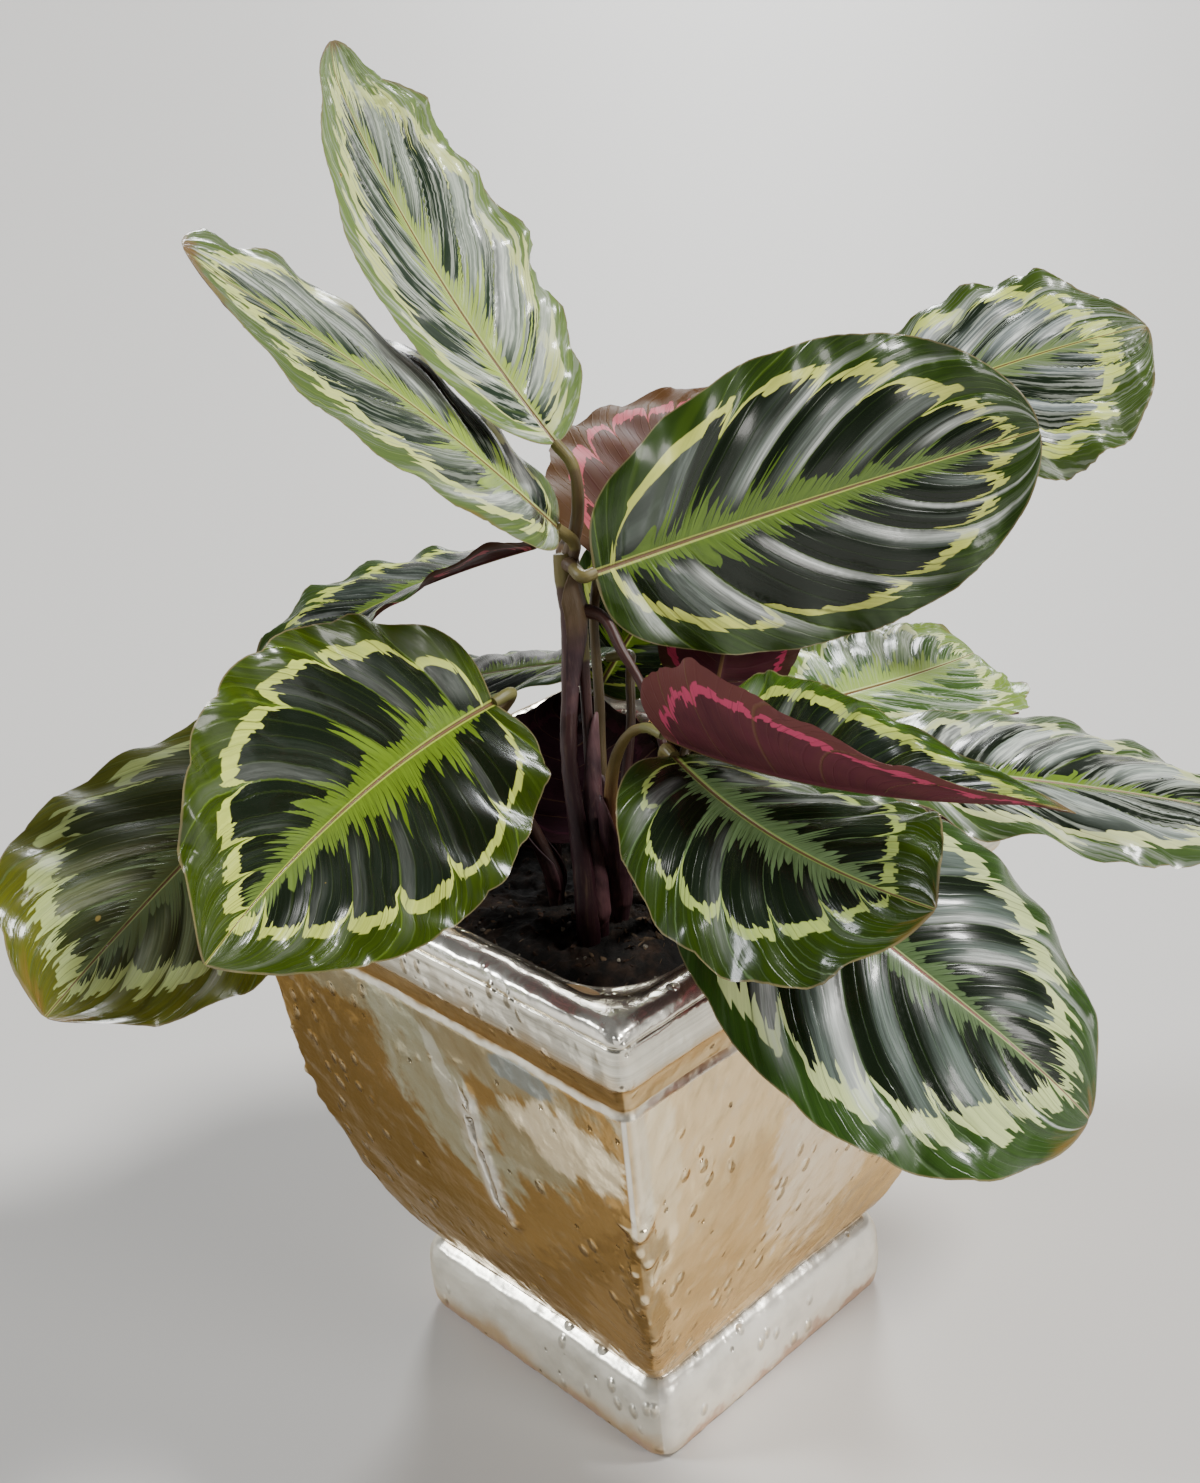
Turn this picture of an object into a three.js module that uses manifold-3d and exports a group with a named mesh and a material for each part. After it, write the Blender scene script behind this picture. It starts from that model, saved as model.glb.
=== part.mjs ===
// A potted prayer plant: a square glazed pot, its soil, and seventeen patterned leaves on their stalks.
// Millimetres, +Z up. The origin is the centre of the pot's foot, and the pot's sides face along X and Y.
import * as THREE from 'three';
import { mergeVertices } from 'three/addons/utils/BufferGeometryUtils.js';
import Module from 'manifold-3d';

const wasm = await Module();
wasm.setup();

// Pot
const rimHalf = 100;            // half the width over the plain band under the lip
const potHeight = 220;
const footHalf = 66.5;
const footHeight = 34;
const waistHalf = 59.7;         // where the body leaves the foot
const shoulderHalf = 95.3;      // where the body ends in a thin ridge
const shoulderHeight = 184;
const bandBottom = 200;
const bandTop = 217.5;
const openingHalf = 79;
const openingCorner = 24;
const wall = 10;
const floorHeight = 24;
const drainRadius = 5;
const drainCount = 3;
const drainSpread = 24;         // from the pot's axis to each drain hole
const lean = -3;                // how far the hand-made pot leans at its shoulder, in X and in Y
const cornerSteps = 3;
const bodyStations = [0.01, 0.05, 0.12, 0.22, 0.36, 0.52, 0.7, 0.86, 1];   // shares of the body's height
const hollowStations = [170, 130, 95, 65, 42];

// Soil
const soilLevel = 184;
const fit = 0.3;                // the gap between pieces that touch
const clods = [[64, 20, 1.5], [46, 16, 2.5], [28, 12, 2], [12, 8, 3]];     // [half width, corner, lift]

// Leaves
const marginThickness = 0.6;
const midribThickness = 1.7;
const bladeRows = 18;
const bladeStart = 0.006;       // where the blade's first row lies, as a share of its length
const bladeColumns = [0, 0.4, 0.75, 1];
const wavesAlong = 5.5;
const spineSteps = 46;
const spineStart = -0.15;       // the midrib's curve runs back past the base by this share of its length
const bladeShape = { skew: 0.81, fullBase: 0.62, fullTip: 0.76, lobe: 0.028, sweep: 0.11 };

// Stalks
const rootDepth = 22;
const kneeLength = 9;
const kneeGap = 0.5;
const tubeSides = 6;
const spanSteps = 2;
const holeFit = 0.5;            // the gap between a stalk and its hole in the soil

const materials = {
  glaze: new THREE.MeshStandardMaterial({ color: 0xa89a80, roughness: 0.22, metalness: 0.75 }),
  soil: new THREE.MeshStandardMaterial({ color: 0x1d1611, roughness: 0.95, metalness: 0 }),
  leaf: new THREE.MeshStandardMaterial({ color: 0x2f5a26, roughness: 0.35, metalness: 0 }),
  stalk: new THREE.MeshStandardMaterial({ color: 0x55332a, roughness: 0.45, metalness: 0 }),
};

// Each leaf: where its blade starts, its length and half width, the heading of its midrib in degrees
// from +X, how the heading turns and the midrib droops on the way to the tip, how the blade rolls and
// twists about the midrib, and how far each half [left, right] folds up and curls.
const leaves = {
  crown: { base: [-17, -5, 354], length: 151, half: 40, heading: 188, turn: 22, rise: 45, droop: -28,
    roll: -9, twist: 4, fold: [16, 17], curl: [-6, -3], wave: 2.2, lobe: 0 },
  upper_left: { base: [-15, -9, 326], length: 160, half: 43, heading: -110, turn: 18, rise: 50, droop: 15,
    roll: -29, twist: -4, fold: [6, 9], curl: [-8, -15], wave: 2 },
  upper_right: { base: [-2, -6, 312], length: 171, half: 53, heading: 71, turn: -16, rise: 7, droop: -3,
    roll: 86, twist: -9, fold: [8, 6], curl: [-14, -7], wave: 1.5, fullTip: 0.55, knee: 4 },
  back_right: { base: [-34, 143, 312], length: 148, half: 52, heading: 34, turn: 30, rise: 29, droop: 26,
    roll: 25, twist: 5, fold: [-4, -1], curl: [1, -19], wave: 2, skew: 0.9, sweep: 0.17 },
  back_centre: { base: [-14, 12, 307], length: 147, half: 49, heading: 113, turn: -9, rise: 12, droop: 2,
    roll: -127, twist: -28, fold: [9, 8], curl: [0, 16], wave: 1.8 },
  mid_left: { base: [-48, 13, 308], length: 122, half: 41, heading: -140, turn: 12, rise: -13, droop: 18,
    roll: 21, twist: -36, fold: [10, 7], curl: [-4, 0], wave: 1.5 },
  front_left: { base: [-14, -45, 275], length: 145, half: 57, heading: -83, turn: 10, rise: 0, droop: 19,
    roll: -46, twist: -10, fold: [24, 24], curl: [12, -7], wave: 1.6 },
  low_left: { base: [-84, -59, 260], length: 167, half: 52, heading: -86, turn: 28, rise: -21, droop: -19,
    roll: -19, twist: -19, fold: [6, 2], curl: [6, -11], wave: 1.8 },
  back_left: { base: [-27, 22, 266], length: 120, half: 42, heading: -159, turn: -18, rise: -12, droop: 11,
    roll: 3, twist: -20, fold: [3, 2], curl: [-4, -18], wave: 1.2 },
  folded: { base: [42, -22, 270], length: 153, half: 36, heading: -10, turn: 19, rise: 2, droop: -13,
    roll: 20, twist: 17, fold: [7, 74], curl: [1, 24], wave: 2, fullBase: 0.69, fullTip: 0.95, sweep: -0.2,
    kneeGap: 1 },
  front_right: { base: [54, -30, 269], length: 111, half: 46, heading: -17, turn: 21, rise: -12, droop: -13,
    roll: -10, twist: 47, fold: [3, 6], curl: [-23, -14], wave: 1.6, knee: 4 },
  low_right: { base: [65, -16, 249], length: 157, half: 58, heading: -22, turn: 72, rise: -8, droop: 46,
    roll: 20, twist: 28, fold: [5, 8], curl: [-28, -3], wave: 1.6, fullTip: 0.66 },
  far_right: { base: [63, 56, 235], length: 176, half: 51, heading: 49, turn: 13, rise: -9, droop: 15,
    roll: 9, twist: -8, fold: [11, 12], curl: [-10, -14], wave: 2 },
  pale_right: { base: [14, 82, 236], length: 137, half: 46, heading: 83, turn: 24, rise: -7, droop: 7,
    roll: 18, twist: 20, fold: [10, 12], curl: [-29, 7], wave: 2.2 },
  inner_right: { base: [15, 31, 252], length: 91, half: 29, heading: 120, turn: 0, rise: 33, droop: 24,
    roll: -154, twist: 0, fold: [8, 8], curl: [-3, -2], wave: 1 },
  inner_left: { base: [-17, -8, 206], length: 71, half: 34, heading: 139, turn: 0, rise: 39, droop: 21,
    roll: 175, twist: 1, fold: [12, 9], curl: [3, -2], wave: 1 },
  inner_back: { base: [-69, 55, 230], length: 103, half: 36, heading: 90, turn: -1, rise: 43, droop: 21,
    roll: 38, twist: -1, fold: [5, 10], curl: [-7, 0], wave: 1.2 },
};

// Stalks that stand alone: where each enters the soil, the points it passes, [x, y, z], and its radius
// at the soil and at the blade.
const stalks = {
  back_right: { foot: [-4, 18], via: [[-6, 30, 214], [-14, 62, 243], [-22, 95, 262], [-34, 125, 291]],
    radius: [2.6, 1.8] },
  back_centre: { foot: [0, -4], via: [[-8, -3, 232], [-12, 2, 262], [-15, 5, 290]], radius: [2.6, 1.8] },
  front_left: { foot: [-20, -19], via: [[-25, -19, 205], [-31, -24, 225], [-30, -33, 255]], radius: [3, 2] },
  low_left: { foot: [-38, -4], via: [[-50, -16, 204], [-66, -34, 228]], radius: [2.8, 1.9] },
  back_left: { foot: [-6, 3], via: [[-6, 5, 220], [-9, 14, 248], [-14, 20, 265]], radius: [2.4, 1.8] },
  folded: { foot: [8, -14], via: [[10, -18, 220], [15, -19, 250], [26, -21, 266]], radius: [3.2, 1.6] },
  low_right: { foot: [24, -10], via: [[32, -11, 215], [48, -12, 245]], radius: [2.8, 2] },
  far_right: { foot: [20, 4], via: [[30, 20, 212], [48, 40, 234]], radius: [2.8, 1.9] },
  pale_right: { foot: [5, 14], via: [[7, 30, 212], [12, 60, 238]], radius: [2.6, 1.8] },
  inner_right: { foot: [11, 3], via: [[16, 12, 215], [20, 22, 240]], radius: [2.4, 1.6] },
  inner_left: { foot: [-12, -12], via: [], radius: [2.4, 1.6] },
  inner_back: { foot: [-26, 14], via: [[-36, 22, 204], [-60, 42, 214]], radius: [2.4, 1.6] },
};

// The main shoot: sheaths that grow one out of another, each route a list of [x, y, z, radius].
const shoot = {
  sheaths: [
    [[10, -32, 190, 4.2], [4, -27, 217, 3.6], [-4, -22, 248, 2.9], [-9, -14, 274, 3], [-12, -8, 294, 4.6],
      [-15, -7, 306, 3.6], [-17, -6, 316, 2.8]],
    [[9, -25, 190, 3], [1, -17, 231, 2.1], [-6, -10, 265, 1.9], [-10, -6, 290, 2.2]],
  ],
  branches: {
    crown: [[-16, -5, 312, 2.6], [-13, -1, 330, 2.2]],
    upper_left: [[-16, -6, 310, 2.6]],
    upper_right: [[-16, -6, 313, 2.6], [-10, -8, 313, 2.3]],
    mid_left: [[-16, -5, 310, 2.4], [-27, 3, 312, 2.1]],
    front_right: [[-10, -5, 297, 2.6], [-2, -3, 295, 2], [8, -5, 286, 1.8], [17, -6, 277, 1.6],
      [26, -9, 268, 1.5], [35, -15, 261, 1.5], [43, -24, 263, 1.5]],
  },
};

const rad = THREE.MathUtils.degToRad;

function shell(positions, triangles) {
  const geometry = new THREE.BufferGeometry();
  geometry.setAttribute('position', new THREE.Float32BufferAttribute(positions, 3));
  geometry.setIndex(triangles);
  return geometry;
}

function toSolid(geometry) {
  const bare = geometry.clone();
  bare.deleteAttribute('normal');
  bare.deleteAttribute('uv');
  const merged = mergeVertices(bare, 1e-4);
  return new wasm.Manifold(new wasm.Mesh({
    numProp: 3,
    vertProperties: new Float32Array(merged.attributes.position.array),
    triVerts: new Uint32Array(merged.index.array),
  }));
}

function toGeometry(solid) {
  const mesh = solid.getMesh();
  const positions = [];
  for (let i = 0; i < mesh.numVert; i++) {
    for (let k = 0; k < 3; k++) positions.push(mesh.vertProperties[i * mesh.numProp + k]);
  }
  return shell(positions, Array.from(mesh.triVerts));
}

// One level of the pot: a square of half width a with corners of radius r, at height z.
function squareRing(a, r, z) {
  const shift = lean * z / shoulderHeight;
  const ring = [];
  for (let corner = 0; corner < 4; corner++) {
    const start = corner * Math.PI / 2;
    const cx = (a - r) * (corner === 0 || corner === 3 ? 1 : -1);
    const cy = (a - r) * (corner < 2 ? 1 : -1);
    for (let k = 0; k <= cornerSteps; k++) {
      const angle = start + k / cornerSteps * Math.PI / 2;
      ring.push([cx + r * Math.cos(angle) + shift, cy + r * Math.sin(angle) + shift, z]);
    }
  }
  return ring;
}

function bodyHalf(z) {
  const t = (z - footHeight) / (shoulderHeight - footHeight);
  const bulge = (1 - (1 - t) ** 1.905) ** (1 / 1.409);
  return waistHalf + (shoulderHalf - waistHalf) * bulge;
}

// A closed solid through rings of points, with a fan of triangles to a centre at each end.
function loft(rings, firstCentre, lastCentre) {
  const count = rings[0].length;
  const triangles = [];
  for (let i = 0; i < rings.length - 1; i++) {
    for (let j = 0; j < count; j++) {
      const a = i * count + j;
      const b = i * count + (j + 1) % count;
      triangles.push(a, b, b + count, a, b + count, a + count);
    }
  }
  const centre = rings.length * count;
  const last = centre - count;
  for (let j = 0; j < count; j++) {
    const next = (j + 1) % count;
    triangles.push(centre, next, j, centre + 1, last + j, last + next);
  }
  return shell([...rings.flat(2), ...firstCentre, ...lastCentre], triangles);
}

// An upright drill, 12-sided, for the holes in the pot's floor and in the soil.
function drill(x, y, radius, low, high) {
  const geometry = new THREE.CylinderGeometry(radius, radius, high - low, 12);
  geometry.rotateX(Math.PI / 2);
  geometry.translate(x, y, (low + high) / 2);
  return toSolid(geometry);
}

function makePot() {
  const levels = [[footHalf - 4.5, 7, 0], [footHalf - 1, 9, 1.5]];
  levels.push([footHalf + 0.5, 10, 7], [footHalf + 0.5, 10, 18], [footHalf, 10, 26]);
  levels.push([footHalf - 2, 9, 31], [waistHalf + 1.2, 6, footHeight - 0.4]);
  for (const t of bodyStations) {
    const z = footHeight + t * (shoulderHeight - footHeight);
    levels.push([bodyHalf(z), 5, z]);
  }
  levels.push([shoulderHalf - 1.6, 4, shoulderHeight + 1.5], [shoulderHalf - 0.6, 4, 190]);
  levels.push([rimHalf - 2.6, 5, 196], [rimHalf, 5, bandBottom], [rimHalf, 5, bandTop - 2]);
  levels.push([rimHalf - 1, 6, bandTop], [rimHalf - 4, 8, bandTop - 0.6], [rimHalf - 6, 10, bandTop + 1]);
  levels.push([rimHalf - 10, 14, potHeight], [rimHalf - 14, 18, potHeight - 0.3]);
  levels.push([openingHalf + 2.5, openingCorner, potHeight - 3], [openingHalf, openingCorner, potHeight - 7]);
  for (const z of hollowStations) levels.push([innerHalf(z), openingCorner, z]);
  levels.push([innerHalf(floorHeight) - 4, openingCorner, floorHeight]);
  let pot = toSolid(loft(levels.map(([a, r, z]) => squareRing(a, r, z)), [0, 0, 0], [0, 0, floorHeight]));
  for (let k = 0; k < drainCount; k++) {
    const angle = 2 * Math.PI * (k + 0.5) / drainCount;
    const x = drainSpread * Math.cos(angle);
    const y = drainSpread * Math.sin(angle);
    pot = pot.subtract(drill(x, y, drainRadius, -1, floorHeight + 1));
  }
  return toGeometry(pot);
}

// Half the width of the hollow at height z.
function innerHalf(z) {
  return Math.min(openingHalf, bodyHalf(Math.max(z, footHeight + 8)) - wall);
}

// Soil: it fills the pot, and its top lies in low clods.
function makeSoil() {
  const levels = [[innerHalf(floorHeight) - 5, openingCorner, floorHeight + fit]];
  const stations = [...hollowStations.toReversed(), soilLevel];
  for (const z of stations) levels.push([innerHalf(z) - fit, openingCorner, z]);
  const rings = levels.map(([a, r, z]) => squareRing(a, r, z));
  for (const [a, r, lift] of clods) {
    const ring = squareRing(a, r, soilLevel);
    ring.forEach((point, k) => {
      point[2] += lift + 1.2 * Math.sin(3.1 * k + a) + 0.8 * Math.sin(7.3 * k + 2 * a);
    });
    rings.push(ring);
  }
  let soil = toSolid(loft(rings, [0, 0, floorHeight + fit], [lean, lean, soilLevel + 3]));
  for (const [x, y, radius] of holes()) {
    soil = soil.subtract(drill(x, y, radius + holeFit, soilLevel - rootDepth - fit, potHeight));
  }
  return toGeometry(soil);
}

// Where each stalk stands in the soil, as [x, y, radius].
function holes() {
  const single = Object.values(stalks).map(({ foot, radius }) => [...foot, radius[0]]);
  return [...single, ...shoot.sheaths.map(([[x, y, , radius]]) => [x, y, radius])];
}

// The midrib of a leaf as a table of points, with the frame (along, left, up) at any distance on it.
function makeSpine(leaf) {
  const direction = (s) => {
    const heading = rad(leaf.heading + leaf.turn * s);
    const rise = rad(leaf.rise - leaf.droop * s);
    return { heading, rise, along: new THREE.Vector3(
      Math.cos(heading) * Math.cos(rise), Math.sin(heading) * Math.cos(rise), Math.sin(rise)) };
  };
  const step = (1 - spineStart) / spineSteps;
  const points = [new THREE.Vector3()];
  for (let i = 0; i < spineSteps; i++) {
    const middle = direction(spineStart + (i + 0.5) * step).along;
    points.push(points[i].clone().addScaledVector(middle, step * leaf.length));
  }
  const lookUp = (s) => {
    const x = THREE.MathUtils.clamp((s - spineStart) / step, 0, spineSteps - 1e-6);
    const i = Math.floor(x);
    return points[i].clone().lerp(points[i + 1], x - i);
  };
  const offset = new THREE.Vector3(...leaf.base).sub(lookUp(0));
  return (s) => {
    const { heading, rise, along } = direction(s);
    const flatUp = new THREE.Vector3(
      -Math.cos(heading) * Math.sin(rise), -Math.sin(heading) * Math.sin(rise), Math.cos(rise));
    const flatLeft = new THREE.Vector3(-Math.sin(heading), Math.cos(heading), 0);
    const roll = rad(leaf.roll + leaf.twist * s);
    const left = flatLeft.clone().multiplyScalar(Math.cos(roll)).addScaledVector(flatUp, Math.sin(roll));
    const up = flatUp.clone().multiplyScalar(Math.cos(roll)).addScaledVector(flatLeft, -Math.sin(roll));
    return { point: lookUp(s).add(offset), along, left, up };
  };
}

// A point of the blade's middle surface: s runs along the midrib, v from the midrib out to the margin.
function bladePoint(leaf, s, v, side) {
  const shape = { ...bladeShape, ...leaf };
  const full = shape.fullBase + (shape.fullTip - shape.fullBase) * s;
  const reach = leaf.half * Math.max(Math.sin(Math.PI * s ** shape.skew), 1e-9) ** full;
  const lobe = shape.lobe * (s / 0.06) * Math.exp(1 - s / 0.06);
  const marginAt = Math.min(s + shape.sweep * Math.sin(Math.PI * s) - lobe, 1);
  const x = s + (marginAt - s) * v ** 1.3;
  const y = reach * v;
  const half = side > 0 ? 0 : 1;
  const tilt = rad(leaf.fold[half] + leaf.curl[half] * y / leaf.half);
  const { point, left, up } = leaf.spine(x);
  const ripple = leaf.wave * v * v * Math.sin(2 * Math.PI * wavesAlong * x + 1.7 * side + leaf.length);
  const taper = Math.min(1, 6 * (1 - s), 8 * s + 0.1);
  return point.addScaledVector(left, side * y * Math.cos(tilt))
    .addScaledVector(up, y * Math.sin(tilt) + ripple * taper);
}

function bladeNormal(leaf, s, v, side) {
  const h = 0.004;
  const s0 = Math.max(s - h, 0.002);
  const s1 = Math.min(s + h, 0.999);
  const v0 = Math.max(v - h, 0);
  const v1 = Math.min(v + h, 1);
  const along = bladePoint(leaf, s1, v, side).sub(bladePoint(leaf, s0, v, side));
  const out = bladePoint(leaf, s, v1, side).sub(bladePoint(leaf, s, v0, side)).multiplyScalar(side);
  return along.cross(out).normalize();
}

// A blade as two skins, one each side of its middle surface, split into triangles alike and joined at
// the rim. Its rows run across the leaf, and all end at one point at the tip.
function makeBlade(leaf) {
  const rightHalf = bladeColumns.slice(1).reverse().map((v) => [v, -1]);
  const columns = [...rightHalf, ...bladeColumns.map((v) => [v, 1])];
  const width = columns.length;
  const upper = [];
  const lower = [];
  const addPair = (s, v, side) => {
    const normal = bladeNormal(leaf, s, v, side);
    if (v === 0) normal.add(bladeNormal(leaf, s, 0, -side)).normalize();
    const thickness = marginThickness + (midribThickness - marginThickness) * (1 - v) ** 3;
    const middle = bladePoint(leaf, s, v, side);
    upper.push(middle.clone().addScaledVector(normal, thickness / 2));
    lower.push(middle.clone().addScaledVector(normal, -thickness / 2));
  };
  for (let i = 0; i < bladeRows; i++) {
    const t = i / bladeRows;
    const s = bladeStart + 0.974 * (t - 0.09 * Math.sin(2 * Math.PI * t));
    for (const [v, side] of columns) addPair(s, v, side);
  }
  addPair(0.995, 0, 1);
  const tip = upper.length - 1;
  const below = upper.length;
  const triangles = [];
  const both = (a, b, c) => triangles.push(a, b, c, below + c, below + b, below + a);
  for (let i = 0; i < bladeRows - 1; i++) {
    for (let j = 0; j < width - 1; j++) {
      const a = i * width + j;
      both(a, a + width, a + width + 1);
      both(a, a + width + 1, a + 1);
    }
  }
  const lastRow = (bladeRows - 1) * width;
  for (let j = 0; j < width - 1; j++) both(lastRow + j, tip, lastRow + j + 1);
  const rim = bladeRim(width, tip);
  rim.forEach((a, k) => {
    const b = rim[(k + 1) % rim.length];
    triangles.push(a, below + a, below + b, a, below + b, b);
  });
  return shell([...upper, ...lower].flatMap((p) => p.toArray()), triangles);
}

// The points round a blade's edge in order: up its right margin, over the tip, down its left and back.
function bladeRim(width, tip) {
  const rim = [];
  for (let i = 0; i < bladeRows; i++) rim.push(i * width);
  rim.push(tip);
  for (let i = bladeRows - 1; i >= 0; i--) rim.push(i * width + width - 1);
  for (let j = width - 2; j > 0; j--) rim.push(j);
  return rim;
}

// A closed tube along a smooth route of [x, y, z, radius].
function makeTube(route) {
  const curve = new THREE.CatmullRomCurve3(route.map((p) => new THREE.Vector3(...p.slice(0, 3))));
  const steps = spanSteps * (route.length - 1);
  const positions = [];
  let side = null;
  for (let i = 0; i <= steps; i++) {
    const t = i / steps;
    const centre = curve.getPoint(t);
    const along = curve.getTangent(t);
    if (!side) side = new THREE.Vector3(0.3, 1, 0.1).cross(along).normalize();
    side.addScaledVector(along, -side.dot(along)).normalize();
    const other = along.clone().cross(side);
    const spot = t * (route.length - 1);
    const k = Math.min(Math.floor(spot), route.length - 2);
    const radius = THREE.MathUtils.lerp(route[k][3], route[k + 1][3], spot - k);
    for (let j = 0; j < tubeSides; j++) {
      const angle = 2 * Math.PI * j / tubeSides;
      const p = centre.clone().addScaledVector(side, radius * Math.cos(angle));
      positions.push(...p.addScaledVector(other, radius * Math.sin(angle)).toArray());
    }
  }
  const triangles = [];
  for (let i = 0; i < steps; i++) {
    for (let j = 0; j < tubeSides; j++) {
      const a = i * tubeSides + j;
      const b = i * tubeSides + (j + 1) % tubeSides;
      triangles.push(a, b, b + tubeSides, a, b + tubeSides, a + tubeSides);
    }
  }
  const top = steps * tubeSides;
  for (let j = 1; j < tubeSides - 1; j++) triangles.push(0, j + 1, j, top, top + j, top + j + 1);
  return shell(positions, triangles);
}

// The last stretch of a stalk: the swollen knee that runs straight into the base of the blade.
function kneeRoute(leaf, radius) {
  const { point, along } = leaf.spine(0);
  const at = (distance) => point.clone().addScaledVector(along, -distance).toArray();
  const end = (leaf.kneeGap ?? kneeGap) - bladeStart * leaf.length;
  return [[...at(leaf.knee ?? kneeLength), radius], [...at(end), radius * 0.9]];
}

// The lowest stretch of a stalk, upright in its hole so that it clears the soil.
function rootRoute([x, y], radius) {
  return [-rootDepth, -9, 6, 11].map((z) => [x, y, soilLevel + z, radius]);
}

function makeStalk(name) {
  const { foot, via, radius: [low, high] } = stalks[name];
  const middle = via.map((p, k) => [...p, THREE.MathUtils.lerp(low, high, (k + 1) / (via.length + 1)) - 0.3]);
  return makeTube([...rootRoute(foot, low), ...middle, ...kneeRoute(leaves[name], high)]);
}

function makeShoot() {
  const tubes = shoot.sheaths.map((route) => {
    return makeTube([...rootRoute(route[0], route[0][3]), ...route.slice(1)]);
  });
  for (const [name, route] of Object.entries(shoot.branches)) {
    tubes.push(makeTube([...route, ...kneeRoute(leaves[name], 2)]));
  }
  return toGeometry(tubes.map(toSolid).reduce((whole, tube) => whole.add(tube)));
}

const plant = new THREE.Group();

function addPiece(name, geometry, material) {
  const mesh = new THREE.Mesh(geometry, material);
  mesh.name = name;
  plant.add(mesh);
}

for (const leaf of Object.values(leaves)) leaf.spine = makeSpine(leaf);
addPiece('pot', makePot(), materials.glaze);
addPiece('soil', makeSoil(), materials.soil);
addPiece('shoot_main', makeShoot(), materials.stalk);
for (const name of Object.keys(stalks)) addPiece(`stalk_${name}`, makeStalk(name), materials.stalk);
for (const [name, leaf] of Object.entries(leaves)) addPiece(`leaf_${name}`, makeBlade(leaf), materials.leaf);

export default plant;
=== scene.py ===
# A potted prayer plant: a lustre-glazed square pot, its soil, and seventeen patterned leaves on their stalks.
# Pieces are in metres in the frame's own axes. The values of pot, soil, leaves and stalks are in millimetres
# and degrees, and those inside a material are in metres.
import math
import bmesh
import bpy
from mathutils import Matrix, Vector, noise


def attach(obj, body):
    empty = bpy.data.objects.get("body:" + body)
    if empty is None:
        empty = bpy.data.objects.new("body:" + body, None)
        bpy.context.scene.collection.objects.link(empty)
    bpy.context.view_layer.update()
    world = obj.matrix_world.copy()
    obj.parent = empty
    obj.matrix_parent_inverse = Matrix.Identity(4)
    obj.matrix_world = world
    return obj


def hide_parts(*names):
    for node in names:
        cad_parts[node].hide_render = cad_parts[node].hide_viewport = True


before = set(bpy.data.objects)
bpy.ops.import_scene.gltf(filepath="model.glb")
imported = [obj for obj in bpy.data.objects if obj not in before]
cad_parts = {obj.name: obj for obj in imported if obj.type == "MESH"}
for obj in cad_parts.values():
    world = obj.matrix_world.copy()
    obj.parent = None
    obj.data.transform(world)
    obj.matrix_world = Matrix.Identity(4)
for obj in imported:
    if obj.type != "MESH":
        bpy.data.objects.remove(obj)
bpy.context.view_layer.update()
mm = 0.001
print("frame loaded:", len(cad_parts), "nodes")


class Values(dict):                               # a dictionary whose values are also read as values.name
    __getattr__ = dict.__getitem__


# Node trees are written as sums: a Wire is one value in a tree, and arithmetic on it adds Math nodes.

class Wire:
    def __init__(self, tree, socket):
        self.tree, self.socket = tree, socket

    def math(self, operation, *others):
        node = self.tree.nodes.new("ShaderNodeMath")
        node.operation = operation
        for socket, value in zip(node.inputs, (self,) + others):
            plug(self.tree, socket, value)
        return Wire(self.tree, node.outputs[0])

    def __rsub__(self, other):
        return (self * -1) + other

    def __neg__(self):
        return self * -1

    def clamp(self):
        return self.max(0).min(1)

    def blend(self, low, high):                   # low where this is 0, high where it is 1
        return low + (high - low) * self

    def step(self, low, high):                    # a smooth rise from 0 at low to 1 at high
        return add(self.tree, "ShaderNodeMapRange", settings={"interpolation_type": "SMOOTHSTEP"},
                   Value=self, From_Min=low, From_Max=high)

    def fall(self, low, high):                    # a smooth fall from 1 at low to 0 at high
        return 1 - self.step(low, high)


mathNodes = {
    "__add__": "ADD", "__radd__": "ADD", "__mul__": "MULTIPLY", "__rmul__": "MULTIPLY", "__sub__": "SUBTRACT",
    "__truediv__": "DIVIDE", "__pow__": "POWER", "sin": "SINE", "cos": "COSINE", "abs": "ABSOLUTE",
    "exp": "EXPONENT", "fract": "FRACT", "floor": "FLOOR", "sqrt": "SQRT", "min": "MINIMUM",
    "max": "MAXIMUM", "above": "GREATER_THAN", "below": "LESS_THAN",
}
for label, operation in mathNodes.items():
    setattr(Wire, label, lambda wire, *others, kind=operation: wire.math(kind, *others))


def plug(tree, socket, value):
    if isinstance(value, Wire):
        tree.links.new(value.socket, socket)
    elif socket.type == "RGBA" and len(value) == 3:
        socket.default_value = (*value, 1)
    else:
        socket.default_value = value


def add(tree, kind, outlet=0, settings=None, **inputs):
    node = tree.nodes.new(kind)
    for name, value in (settings or {}).items():
        setattr(node, name, value)
    for name, value in inputs.items():
        plug(tree, node.inputs[name.replace("_", " ")], value)
    return Wire(tree, node.outputs[outlet])


def pack(tree, x, y, z):
    return add(tree, "ShaderNodeCombineXYZ", X=x, Y=y, Z=z)


def unpack(tree, vector):
    split = add(tree, "ShaderNodeSeparateXYZ", Vector=vector).socket.node
    return [Wire(tree, socket) for socket in split.outputs]


def grain(tree, vector, scale, detail=2, roughness=0.5):
    if isinstance(vector, tuple):
        vector = pack(tree, *vector)
    return add(tree, "ShaderNodeTexNoise", Vector=vector, Scale=scale, Detail=detail, Roughness=roughness)


def lot(tree, number):                            # one random value for each whole number
    return add(tree, "ShaderNodeTexWhiteNoise", settings={"noise_dimensions": "1D"}, W=number.floor() + 0.5)


def attribute(tree, name, outlet=2):              # outlet 1 gives three values, outlet 2 a single one
    return add(tree, "ShaderNodeAttribute", outlet, settings={"attribute_name": name})


def objectPlace(tree):
    return add(tree, "ShaderNodeTexCoord", 3)


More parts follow.
